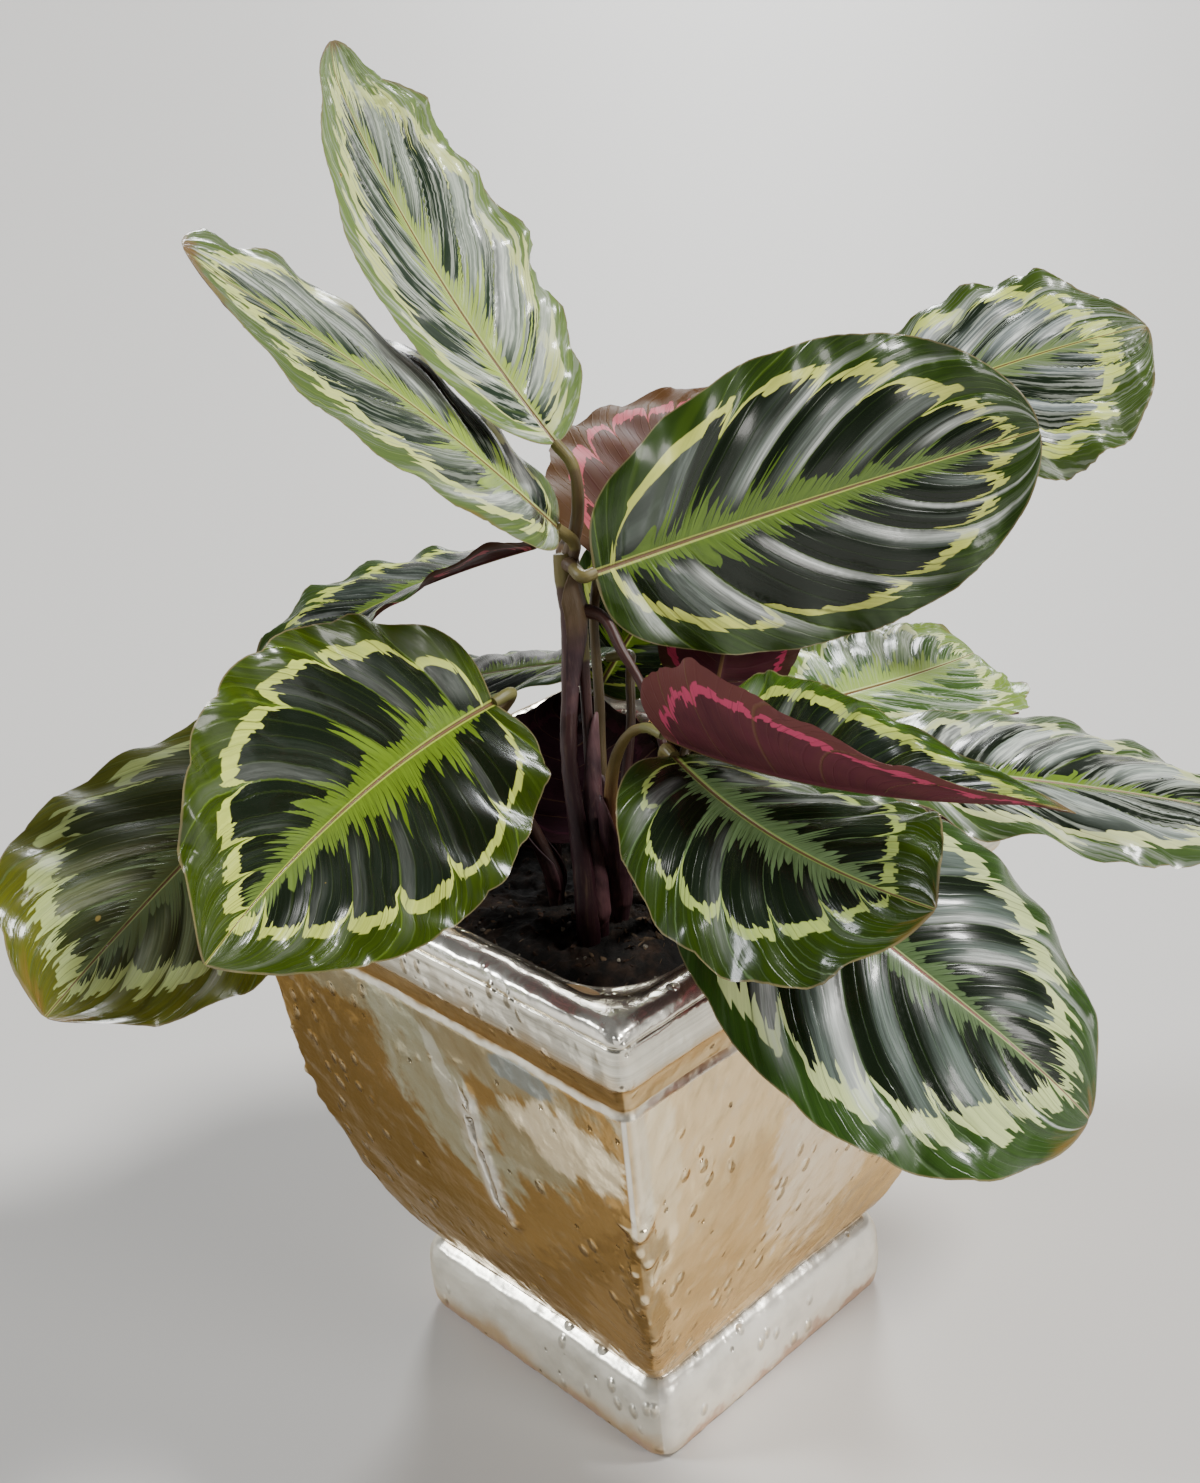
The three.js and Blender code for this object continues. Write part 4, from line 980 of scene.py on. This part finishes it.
def squareRing(a, r, z):
    # One level of the pot: a square of half width a whose corners are rounded by r.
    shift = pot["lean"] * z / pot["shoulderHeight"]

    def cornerSpot(corner, share):
        angle = (corner + share) * math.pi / 2
        cx = (a - r) * (1 if corner % 4 in (0, 3) else -1)
        cy = (a - r) * (1 if corner % 4 < 2 else -1)
        return Vector((cx + r * math.cos(angle) + shift, cy + r * math.sin(angle) + shift, z))

    ring = []
    for corner in range(4):
        ring += [cornerSpot(corner, k / pot["cornerSteps"]) for k in range(pot["cornerSteps"] + 1)]
        near, far = ring[-1], cornerSpot(corner + 1, 0)
        ring += [near.lerp(far, k / pot["sideSteps"]) for k in range(1, pot["sideSteps"])]
    return ring


def loft(rings, bottom, top):
    # Points and faces of a skin through the rings, closed at both ends by a fan.
    count = len(rings[0])
    points = [point * mm for ring in rings for point in ring] + [bottom * mm, top * mm]
    last = (len(rings) - 1) * count
    pairs = [(j, (j + 1) % count) for j in range(count)]
    faces = [(low + j, low + k, low + count + k, low + count + j)
             for low in range(0, last, count) for j, k in pairs]
    faces += [(len(points) - 2, k, j) for j, k in pairs]
    faces += [(len(points) - 1, last + j, last + k) for j, k in pairs]
    return points, faces


def potLevels():
    foot, height = pot["footHalf"], pot["footHeight"]
    levels = smoothLevels([(foot - 4.5, 7, 0), (foot - 1, 9, 1.5), (foot + 0.5, 10, 7), (foot + 0.5, 10, 18),
                           (foot, 10, 26), (foot - 2, 9, 31), (pot["waistHalf"] + 1.2, 6, height - 0.4)], 5)
    rise = pot["shoulderHeight"] - height
    for k in range(1, pot["bodyRows"] + 1):
        z = height + rise * (k / pot["bodyRows"]) ** pot["rowPower"]
        levels.append(Vector((bodyHalf(z), 5, z)))
    shoulder, rim, top = pot["shoulderHalf"], pot["rimHalf"], pot["bandTop"]
    opening, corner = pot["openingHalf"], pot["openingCorner"]
    inside = pot["height"] - 11
    levels += smoothLevels([
        (shoulder - 1.6, 4, pot["shoulderHeight"] + 1.5), (shoulder - 0.6, 4, 190), (rim - 2.6, 5, 196),
        (rim, 5, pot["bandBottom"]), (rim, 5, top - 5.5), (rim - 0.7, 5, top - 4),
        (rim - 0.3, 5.5, top - 2.2), (rim - 1.6, 6, top + 0.6), (rim - 4.5, 8, top + 2.2),
        (rim - 8, 11, top + 2.2), (rim - 12, 15, top + 0.6), (rim - 16, 19, top - 2.4),
        (opening + 2, corner, inside + 4.5), (opening, corner, inside)], 5)
    while inside > 45:
        inside -= pot["innerStep"]
        levels.append(Vector((innerHalf(inside), corner, inside)))
    levels.append(Vector((innerHalf(pot["floorHeight"]) - 4, corner, pot["floorHeight"])))
    return levels


def runRise(point):
    # The run of glaze on the front face: a ridge with a groove along its middle, which wanders as it falls.
    run = Values(pot["run"])
    if not run.low < point.z < run.high:
        return 0
    centre = run.x - (point.z - run.low) * run.lean + 2.4 * noise.noise(Vector((0, 3, point.z * 0.09)))
    share = math.sin(math.pi * (point.z - run.low) / (run.high - run.low)) ** 0.4
    ridge, groove = (math.exp(-((point.x - centre) / width) ** 2) for width in (run.width, 1.2))
    return run.rise * share * (ridge - 1.2 * groove)


def wave(point, pitch, start, height):
    return noise.noise(point * pitch + Vector(start)) * height


def unevenPoint(point, outward):
    # Slow waves over the whole body, and the lumps and the run of glaze on it, which also come back alone.
    slow = sum(wave(point, *values) for values in pot["slowWaves"])
    lumps = max(0, noise.noise(Vector((point.x * 0.16, point.y * 0.16, point.z * 0.17))) + 0.1) * 0.6
    dimples = wave(point, *pot["dimples"])
    crustFoot, crustTop = pot["crustHeights"]
    nearCorner = max(0, 1 - min(outward.x, outward.y) / 3 - max(outward.x, outward.y) / 9)
    push = slow * pot["unevenness"] + dimples + lumps * nearCorner * (crustFoot < point.z < crustTop)
    push += wave(point, *pot["footEdge"]) * max(0, 1 - point.z / pot["footEdgeHeight"])
    bead = 0
    if point.x > 0 > point.y or abs(point.x) < 90 and point.y < -60:
        along = outward.y - outward.x
        for spot, height, long, tall, rise in pot["lumps"]:
            gap = ((along - spot) / long) ** 2 + ((point.z - height) / tall) ** 2
            bead += pot["lumpGrowth"] * rise * math.exp(-gap) if gap < pot["lumpReach"] else 0
    if point.y < -60:
        bead += runRise(point)
    return push + bead, bead


def makePot(skin):
    rings, beads = [], []
    for a, r, z in potLevels():
        ring = squareRing(a, r, z)
        centre = Vector((pot["lean"], pot["lean"], 0)) * z / pot["shoulderHeight"] + Vector((0, 0, z))
        inside = a < pot["openingHalf"] + 1 and len(rings) > pot["bodyRows"] + 40
        for k, point in enumerate(ring):
            flat = point - centre
            push, bead = unevenPoint(point, Vector((a - abs(flat.x), a - abs(flat.y), 0)))
            ring[k] = point + flat.normalized() * push * (0.4 if inside else min(1, z / 6))
            beads.append(0 if inside else bead)
        rings.append(ring)
    points, faces = loft(rings, Vector((0, 0, 0)), Vector((0, 0, pot["floorHeight"])))
    mesh = newMesh("potBody", points, faces, skin)
    mesh.attributes.new("bead", "FLOAT", "POINT").data.foreach_set("value", beads + [0, 0])
    addPiece("pot_body", pierced(mesh), "pot")


def pierced(mesh):
    # Three drain holes go through the floor.
    drill = bmesh.new()
    radius = pot["drainRadius"] * mm
    for angle in map(math.radians, pot["drainAngles"]):
        spot = Vector((math.cos(angle), math.sin(angle), 0)) * pot["drainSpread"]
        spot.z = pot["floorHeight"] / 2
        bmesh.ops.create_cone(drill, cap_ends=True, segments=pot["drillSides"], radius1=radius,
                              radius2=radius, depth=pot["floorHeight"] * 2 * mm,
                              matrix=Matrix.Translation(spot * mm))
    drillMesh = bpy.data.meshes.new("drill")
    drill.to_mesh(drillMesh)
    drill.free()
    body, tool = addObject("body", mesh), addObject("drill", drillMesh)
    cut = body.modifiers.new("drain", "BOOLEAN")
    cut.operation, cut.object, cut.solver = "DIFFERENCE", tool, "EXACT"
    return finished(body, tool)


glaze = {
    "silver": (0.84, 0.81, 0.7), "white": (0.97, 0.94, 0.85), "shade": (0.17, 0.16, 0.12),
    "champagne": (0.88, 0.68, 0.4), "tan": (0.56, 0.37, 0.17), "gold": (0.42, 0.26, 0.095),
    "umber": (0.2, 0.12, 0.036), "grey": (0.46, 0.47, 0.34), "blue": (0.26, 0.32, 0.34),
    "cream": (0.99, 0.85, 0.58), "amber": (0.3, 0.2, 0.09), "clay": (0.6, 0.42, 0.32),
    "pit": (0.05, 0.03, 0.015), "bare": (0.75, 0.5, 0.25), "tint": (0.86, 0.72, 0.52),
    # soft patches of painted reflection: colour, centre along the face and up (mm), half length, half height,
    # slant, strength
    "frontReflections": (
        ("grey", 0, 178, 95, 12, 0, 0.45), ("grey", -4, 150, 30, 38, -0.6, 0.75),
        ("silver", 2, 160, 6, 20, -0.35, 0.4), ("silver", 12, 128, 4, 14, -0.35, 0.4),
        ("grey", 44, 150, 24, 18, 0, 0.6), ("cream", 64, 161, 31, 14, 0, 1), ("blue", 46, 179, 18, 5, 0, 0.7),
        ("gold", 82, 138, 6, 14, 0, 0.6), ("tan", 68, 78, 22, 34, 0.4, 0.6)),
    "sideReflections": (
        ("cream", -84, 150, 9, 40, 0, 0.65), ("tan", -47, 112, 30, 34, 0.2, 0.45),
        ("white", 8, 130, 34, 66, 0.1, 0.45), ("tan", -62, 56, 24, 20, 0, 0.7),
        ("cream", 72, 132, 30, 50, 0, 0.55)),
    # the heights at which one part of the glaze gives way to the next, each from and to
    "footTop": (0.0325, 0.0345), "line": (0.1832, 0.1842), "coveFoot": (0.1846, 0.186),
    "bandFoot": (0.1965, 0.2005), "lipFoot": (0.2145, 0.217), "opening": (0.0885, 0.0925),
    "crustFoot": (0.045, 0.075), "crustTop": (0.138, 0.15), "cornerHighlightFoot": (0.128, 0.15),
    "cornerHighlightTop": (0.183, 0.185), "dullFoot": (0.032, 0.035), "dullLip": (0.21, 0.214),
    "hollowFoot": (0.182, 0.1835), "hollowTop": (0.195, 0.2),
    # how fine each grain is, and how far the crust reaches round the corner in millimetres
    "patchPitch": 13, "smallPitch": 60, "slowPitch": 8, "pitPitch": 110, "blisterPitch": 130,
    "dentPitches": (30, 120), "crustHalf": 16,
    "face": 0.055, "centre": 0.0035,                    # what lies beyond face is one of the four sides
    "chip": (0.0667, -0.0875, 0.0065, 0.003),           # centre on the lip, half length, half width
    "metal": 0.95, "gloss": 0.16,
}


def glazeBody(tree, shared):
    # The four sides: two dark gold in painted shade and two champagne in painted light, all lightening
    # upwards as painted light, the dark ones also to the right, and each of the seen two with its soft
    # patches of painted reflection.
    place, x, y, z, litSide, patches, small, brushed = shared
    other = grain(tree, place, glaze["slowPitch"], 3, 0.6)
    front = y.below(-glaze["face"]) * (1 - litSide)
    beside = x.above(glaze["face"]) * litSide
    lit = (x * 6 + z * 0.8 + (patches - 0.5) * 1 + (brushed - 0.5) * 0.2).step(-0.25, 0.75)
    creamy = (other + (brushed - 0.5) * 0.25).step(0.62, 0.72) * (1 - front)
    dusk = layered(tree, glaze["umber"], (lit, glaze["gold"]), (creamy, glaze["cream"]))
    high = (z * 6 + (patches - 0.5) * 1.1).step(-0.2, 0.9)
    day = layered(tree, glaze["tan"], (high, glaze["champagne"]))
    body = layered(tree, dusk, (litSide, day))
    for reflectionSet, mask, run in (("frontReflections", front, x), ("sideReflections", beside, y)):
        for name, along, up, long, tall, slant, strength in glaze[reflectionSet]:
            aside = (run / mm - along - (z / mm - up) * slant) / long
            away = aside ** 2 + ((z / mm - up) / tall) ** 2 + (patches - 0.5) * 1.4 + (brushed - 0.5) * 2.2
            body = layered(tree, body, (away.fall(0.6, 1.1) * strength * mask, glaze[name]))
    # brushed dark and pale streaks of painted reflection, and small dark flecks
    body = layered(tree, body, (brushed.step(0.48, 0.7) * 0.25, glaze["umber"]),
                   (brushed.fall(0.3, 0.46) * 0.18, glaze["silver"]),
                   (small.step(0.55, 0.75) * 0.18, glaze["umber"]))
    return body, other, front


def makeGlaze():
    material, tree, shader = newMaterial("lustreGlaze", Metallic=glaze["metal"], Specular_IOR_Level=0.4,
                                         Coat_Weight=0.04, Coat_Roughness=0.06, Specular_Tint=glaze["tint"])
    place = objectPlace(tree)
    x, y, z = unpack(tree, place)
    patches = grain(tree, place, glaze["patchPitch"], 4, 0.55)
    small = grain(tree, place, glaze["smallPitch"], 3, 0.6)
    # brushed marks lean to the right as they fall on the front face, and to the left on the side face
    brushed = grain(tree, ((x + z * 0.6) * 120, (y - z * 0.6) * 120, (z + x * 0.2) * 16), 1, 4, 0.65)
    # how far round the front corner a point lies, in millimetres
    corner = (x + y) / mm + z / mm * (-2 * pot["lean"] / pot["shoulderHeight"])
    # the two sides past the front corner are the ones given painted light
    litSide = corner.step(-0.6, 0.6)
    body, other, front = glazeBody(tree, (place, x, y, z, litSide, patches, small, brushed))

    # the band and the lip are silver, streaked along their length, and the foot is silver on bare clay. The
    # band's dark streaks are painted reflection, fainter on the lit side; the lip's inner slope is in painted
    # shade; the foot's lit side is painted white.
    drawn = grain(tree, (x * 10, y * 10, z * 420), 1, 3, 0.6)
    streaked = (drawn * 0.8 + patches * 0.3).step(0.42, 0.7) * (0.7 - litSide * 0.35)
    stain = (patches + small * 0.5 - (z - 0.2) * 16 * (1 - litSide * 0.6)).step(0.6, 0.85)
    band = layered(tree, glaze["silver"], (streaked, glaze["shade"]), (stain * 0.6, glaze["tan"]))
    reach = (x + glaze["centre"]).abs().max((y + glaze["centre"]).abs())
    inward = (reach + (patches - 0.5) * 0.003).fall(*glaze["opening"])
    lip = layered(tree, glaze["white"], (inward * 0.8, glaze["shade"]),
                  ((other * 0.6 + small * 0.5).step(0.54, 0.68) * 0.4, glaze["amber"]))
    stripe = (z * 60 + (patches - 0.5) * 1.8 + (small - 0.5) * 0.8).fall(0.3, 0.9)
    foot = layered(tree, glaze["silver"], (litSide, glaze["white"]),
                   (stripe * (0.8 - litSide * 0.55), glaze["tan"]),
                   ((patches * 0.6 + small * 0.4).step(0.5, 0.62) * 0.22, glaze["shade"]),
                   ((z + (small - 0.5) * 0.03).fall(0.001, 0.007), glaze["clay"]))
    # the cove is amber with darker streaks, and champagne on the lit side as painted light
    cove = layered(tree, glaze["amber"], ((drawn * 0.6 + patches * 0.5).step(0.45, 0.75), glaze["umber"]),
                   (litSide * 0.7, glaze["champagne"]))
    rough = (z + (small - 0.5) * 0.004)
    # a thin silver line along the shoulder ridge is a painted highlight
    skin = layered(tree, foot, (rough.step(*glaze["footTop"]), body),
                   (rough.step(*glaze["line"]) * 0.8, glaze["silver"]),
                   (rough.step(*glaze["coveFoot"]), cove), (rough.step(*glaze["bandFoot"]), band),
                   (rough.step(*glaze["lipFoot"]), lip))

    # pits, darkened as painted shade, and raised blisters, a little longer than wide, in loose groups, which
    # carry a painted highlight that is stronger on the lit side
    pits = add(tree, "ShaderNodeTexVoronoi", Vector=place, Scale=glaze["pitPitch"])
    pit = pits.fall(0.04, 0.14) * small.step(0.5, 0.58)
    blisters = add(tree, "ShaderNodeTexVoronoi", Vector=pack(tree, x, y, z * 0.7),
                   Scale=glaze["blisterPitch"])
    blister = blisters.fall(0.06, 0.34) * grain(tree, place, 21, 2).step(0.5, 0.55)

    # the run: pale along its sides as a painted highlight, with a dark thread of painted shade in it
    run = Values({key: value * (1 if key == "lean" else mm) for key, value in pot["run"].items()})
    sway = (grain(tree, (0, 0, z * 60), 1, 2) - 0.5) * 0.007
    aside = (x - run.x + (z - run.low) * run.lean + sway).abs()
    along = z.step(run.low, run.low + 0.004) * z.fall(run.high - 0.01, run.high) * front
    core = aside.fall(0.0008, 0.0022) * along * small.step(0.42, 0.5)

    # below a pair of pale lines, painted highlights along the front corner, the corner is crusted, brown with
    # bright specks on the beads of glaze that are painted highlights
    facing = y.below(0)
    crust = (corner.abs() / glaze["crustHalf"] + (small - 0.5) * 2.4).fall(0.25, 0.75)
    crust = crust * z.step(*glaze["crustFoot"]) * z.fall(*glaze["crustTop"]) * facing
    bead = attribute(tree, "bead") * (0.4 + small * 1.2)
    high = z.step(*glaze["cornerHighlightFoot"]) * z.fall(*glaze["cornerHighlightTop"]) * facing
    chipX, chipY, chipLong, chipWide = glaze["chip"]
    chip = ((x - chipX) / chipLong) ** 2 + ((y - chipY) / chipWide) ** 2 + (small - 0.5) * 1.5
    chip = chip.fall(0.9, 1.1) * z.above(0.21)
    skin = layered(
        tree, skin, (aside.fall(0.002, 0.0075) * along * (0.35 + small), glaze["white"]),
        (crust * 0.65, glaze["umber"]), (bead.step(1, 1.7) * 0.7, glaze["cream"]),
        (blister.step(0.4, 0.8) * (0.2 + litSide * 0.3), glaze["cream"]),
        ((corner + 1).abs().fall(0.5, 1.6) * high * (0.3 + small), glaze["white"]),
        ((corner - 5).abs().fall(2, 4.5) * high * 0.5, glaze["silver"]),
        ((pit * 0.6 + core * 0.5).clamp(), glaze["pit"]), (chip, glaze["bare"]))

    low, top = z.fall(*glaze["dullFoot"]), z.step(*glaze["dullLip"])
    hollow = z.step(*glaze["hollowFoot"]) * z.fall(*glaze["hollowTop"])
    plug(tree, shader.inputs["Metallic"], glaze["metal"] - chip * glaze["metal"] - low * 0.35)
    roughness = (glaze["gloss"] + brushed.step(0.4, 0.8) * 0.08 + pit * 0.3 + low * 0.12 + top * 0.06
                 + chip * 0.5 + hollow * 0.14)
    dents, hammered = (grain(tree, place, pitch) for pitch in glaze["dentPitches"])
    relief = dents * 2 * (1 - low * 0.6) + brushed * 0.06 + small * 0.8 * (1 - low * 0.4) + hammered * 0.35
    relief = relief - pit * 1.2 + blister * 2 + crust * small * 2 - core * 2 - chip * 1
    dress(tree, shader, skin, roughness, relief, 0.7, 0.0012)
    return material


makePot(makeGlaze())
print("pot made")


# Soil: it fills the pot up to its level and lies in clods, with bark and perlite strewn over it.

soil = {
    "level": 184, "floor": 24.3, "levels": (42, 65, 95, 130, 160), "fit": 0.3, "corner": 24, "rings": 48,
    "lift": 3, "clods": 3.4, "clodPitch": 0.045, "crumbs": 1.5, "crumbPitch": 0.3,
    "bark": (0.035, 0.02, 0.012), "mix": (0.006, 0.005, 0.004),
}


def makeSoil(skin):
    level, corner = soil["level"], soil["corner"]
    rings = [squareRing(innerHalf(pot["floorHeight"]) - 5 - soil["fit"], corner, soil["floor"])]
    rings += [squareRing(innerHalf(z) - soil["fit"], corner, z) for z in (*soil["levels"], level - 2)]
    top = innerHalf(level) - soil["fit"]
    for k in range(soil["rings"]):
        share = 1 - k / soil["rings"]
        ring = squareRing(top * share, corner * share ** 1.5 + 0.01, level)
        for spot in ring:
            coarse = noise.turbulence(spot * soil["clodPitch"], 3, False) - 0.35
            crumbs = noise.turbulence(spot * soil["crumbPitch"], 3, False) - 0.3
            rough = soil["lift"] * (1 - share) + soil["clods"] * coarse + soil["crumbs"] * crumbs
            spot.z += min(1, k / 4) * rough
        rings.append(ring)
    points, faces = loft(rings, Vector((0, 0, soil["floor"])),
                         Vector((pot["lean"], pot["lean"], level + soil["lift"])))
    return addPiece("soil_bed", newMesh("soilBody", points, faces, skin), "soil")


def soilSkin():
    material, tree, shader = newMaterial("pottingMix", Specular_IOR_Level=0.25)
    place = objectPlace(tree)
    crumbs, fibres = grain(tree, place, 240, 6, 0.7), grain(tree, place, 90, 4, 0.6)
    colour = layered(tree, soil["mix"], (fibres.step(0.45, 0.75), soil["bark"]))
    dress(tree, shader, colour, 0.9, crumbs, 0.9, 0.002)
    return material


bed = makeSoil(soilSkin())

bits = {
    "bark": {"count": 420, "size": 3.4, "flat": 0.35, "seed": 4, "rough": 0.85,
             "colour": (0.05, 0.026, 0.014)},
    "fibre": {"count": 260, "size": 6.5, "flat": 0.09, "seed": 9, "rough": 0.8,
              "colour": (0.1, 0.065, 0.035)},
    "perlite": {"count": 70, "size": 3, "flat": 0.6, "seed": 2, "rough": 0.7, "colour": (0.3, 0.27, 0.21)},
}
strewn = {                                        # where on the soil the bits lie, and how each is shaped
    "reach": 0.0745, "side": 0.155, "centre": 0.003, "below": 1.5, "segments": 7, "rings": 5,
    "lumpiness": 1.1, "tumble": (1.2, 1.2, 6.28), "smallest": 0.35,
}


def buildBitsTree():
    tree, given, sink = newTree("soilBits", "GeometryNodeTree", {
        "Geometry": ["Geometry"], "Float": ["count", "size", "flat", "reach"], "Int": ["seed"],
        "Material": ["skin"]}, {"Geometry": ["Geometry"]})
    x, y, z = unpack(tree, add(tree, "GeometryNodeInputPosition"))
    onTop = z.above((soil["level"] - strewn["below"]) * mm)
    for across in (x, y):
        onTop = onTop * given.reach.above((across + strewn["centre"]).abs())
    points = add(tree, "GeometryNodeDistributePointsOnFaces", Mesh=given.Geometry, Selection=onTop,
                 Density=given.count / strewn["side"] ** 2, Seed=given.seed)
    ball = add(tree, "GeometryNodeMeshUVSphere", Radius=0.5, Segments=strewn["segments"],
               Rings=strewn["rings"])
    spot = add(tree, "GeometryNodeInputPosition")
    pushed = add(tree, "ShaderNodeVectorMath", settings={"operation": "SCALE"}, Vector=spot,
                 Scale=(grain(tree, spot, 2.3, 1) - 0.5) * strewn["lumpiness"])
    lump = add(tree, "GeometryNodeSetPosition", Geometry=ball, Offset=pushed)
    turn = add(tree, "FunctionNodeRandomValue", settings={"data_type": "FLOAT_VECTOR"}, Seed=given.seed)
    turn.socket.node.inputs["Max"].default_value = strewn["tumble"]
    share = add(tree, "FunctionNodeRandomValue", 1, settings={"data_type": "FLOAT"}, Seed=given.seed + 7)
    lowest, highest = share.socket.node.inputs[2:4]
    lowest.default_value, highest.default_value = strewn["smallest"], 1
    size = given.size * share * mm
    scale = pack(tree, size, size * (0.3 + given.flat * 0.7), size * given.flat)
    lumps = add(tree, "GeometryNodeInstanceOnPoints", Points=points, Instance=lump, Rotation=turn,
                Scale=scale)
    finishTree(tree, sink, lumps, given.skin)
    return tree


def bitSkin(name, bit):
    material, tree, shader = newMaterial(name, Specular_IOR_Level=0.3)
    mottle = grain(tree, objectPlace(tree), 420, 4, 0.65)
    dark = tuple(value * 0.35 for value in bit["colour"])
    colour = layered(tree, dark, (mottle.step(0.35, 0.65), bit["colour"]))
    dress(tree, shader, colour, bit["rough"], mottle, 0.7, 0.0006)
    return material


bitsTree = buildBitsTree()
for bitName, bit in bits.items():
    values = {**bit, "reach": strewn["reach"], "skin": bitSkin(bitName, bit)}
    addPiece("soil_" + bitName, grown(bed.data.copy(), bitsTree, values), None)
print("soil made")


# Camera: at the photograph's viewpoint, found from the pot's own edges. Floor, backdrop and soft lights.

studio = {
    "cameraPlace": (407, -395.5, 509.3), "yaw": -46.59, "pitch": 24.69, "tilt": -4.02, "lens": 43,
    "sensor": 36, "floorColour": (0.66, 0.645, 0.62), "floorReach": 60,
    "skyHigh": (0.1, 0.1, 0.1), "skyLow": (1.12, 1.1, 1.06), "skyFall": 11,
    "lights": (                               # where it shines from, power, width in degrees, colour
        ("above", (0.5, 0.45, 0.95), 3.4, 11, (1, 0.99, 0.97)),
        ("behind", (-1.25, 1.5, 0.95), 2, 16, (0.97, 0.99, 1)),
        ("left", (-1.2, -1.15, 1), 1.9, 14, (0.95, 0.98, 1)),
        ("right", (1.7, 0.35, 0.68), 1.1, 18, (1, 0.97, 0.93)),
    ),
}


def addCamera(setup):
    yaw, pitch, tilt = (math.radians(setup[key]) for key in ("yaw", "pitch", "tilt"))
    forward = Vector((math.sin(yaw) * math.cos(pitch), math.cos(yaw) * math.cos(pitch), -math.sin(pitch)))
    right = Vector((math.cos(yaw), -math.sin(yaw), 0))
    up = right.cross(forward)
    axes = (math.cos(tilt) * right + math.sin(tilt) * up, math.cos(tilt) * up - math.sin(tilt) * right,
            -forward, Vector(setup["cameraPlace"]) * mm)
    camera = addObject("camera", bpy.data.cameras.new("camera"))
    camera.matrix_world = Matrix([[axis[k] for axis in axes] for k in range(3)] + [(0, 0, 0, 1)])
    camera.data.sensor_width, camera.data.lens, camera.data.clip_start = setup["sensor"], setup["lens"], 0.01
    bpy.context.scene.camera = camera


def addStudio(setup):
    # Wide suns, so that the floor is lit evenly to the horizon, where the sky meets it in the same colour.
    for name, place, power, width, colour in setup["lights"]:
        sun = addObject(name, bpy.data.lights.new(name, "SUN"))
        sun.data.energy, sun.data.angle, sun.data.color = power, math.radians(width), colour
        sun.rotation_euler = Vector(place).to_track_quat("Z", "Y").to_euler()
    world = bpy.data.worlds.new("studio")
    bpy.context.scene.world = world
    world.use_nodes = True
    tree = world.node_tree
    height = unpack(tree, add(tree, "ShaderNodeTexCoord"))[2]
    glow = (-(height.max(0) * setup["skyFall"])).exp()
    sky = layered(tree, setup["skyHigh"], (glow, setup["skyLow"]))
    plug(tree, tree.nodes["Background"].inputs["Color"], sky)
    reach = setup["floorReach"]
    mesh = bpy.data.meshes.new("floor")
    mesh.from_pydata([(-reach, -reach, 0), (reach, -reach, 0), (reach, reach, 0), (-reach, reach, 0)], [],
                     [(0, 1, 2, 3)])
    mesh.materials.append(newMaterial("floorPaint", Base_Color=setup["floorColour"], Roughness=0.6)[0])
    addObject("floor", mesh)


addCamera(studio)
addStudio(studio)
print("studio set")
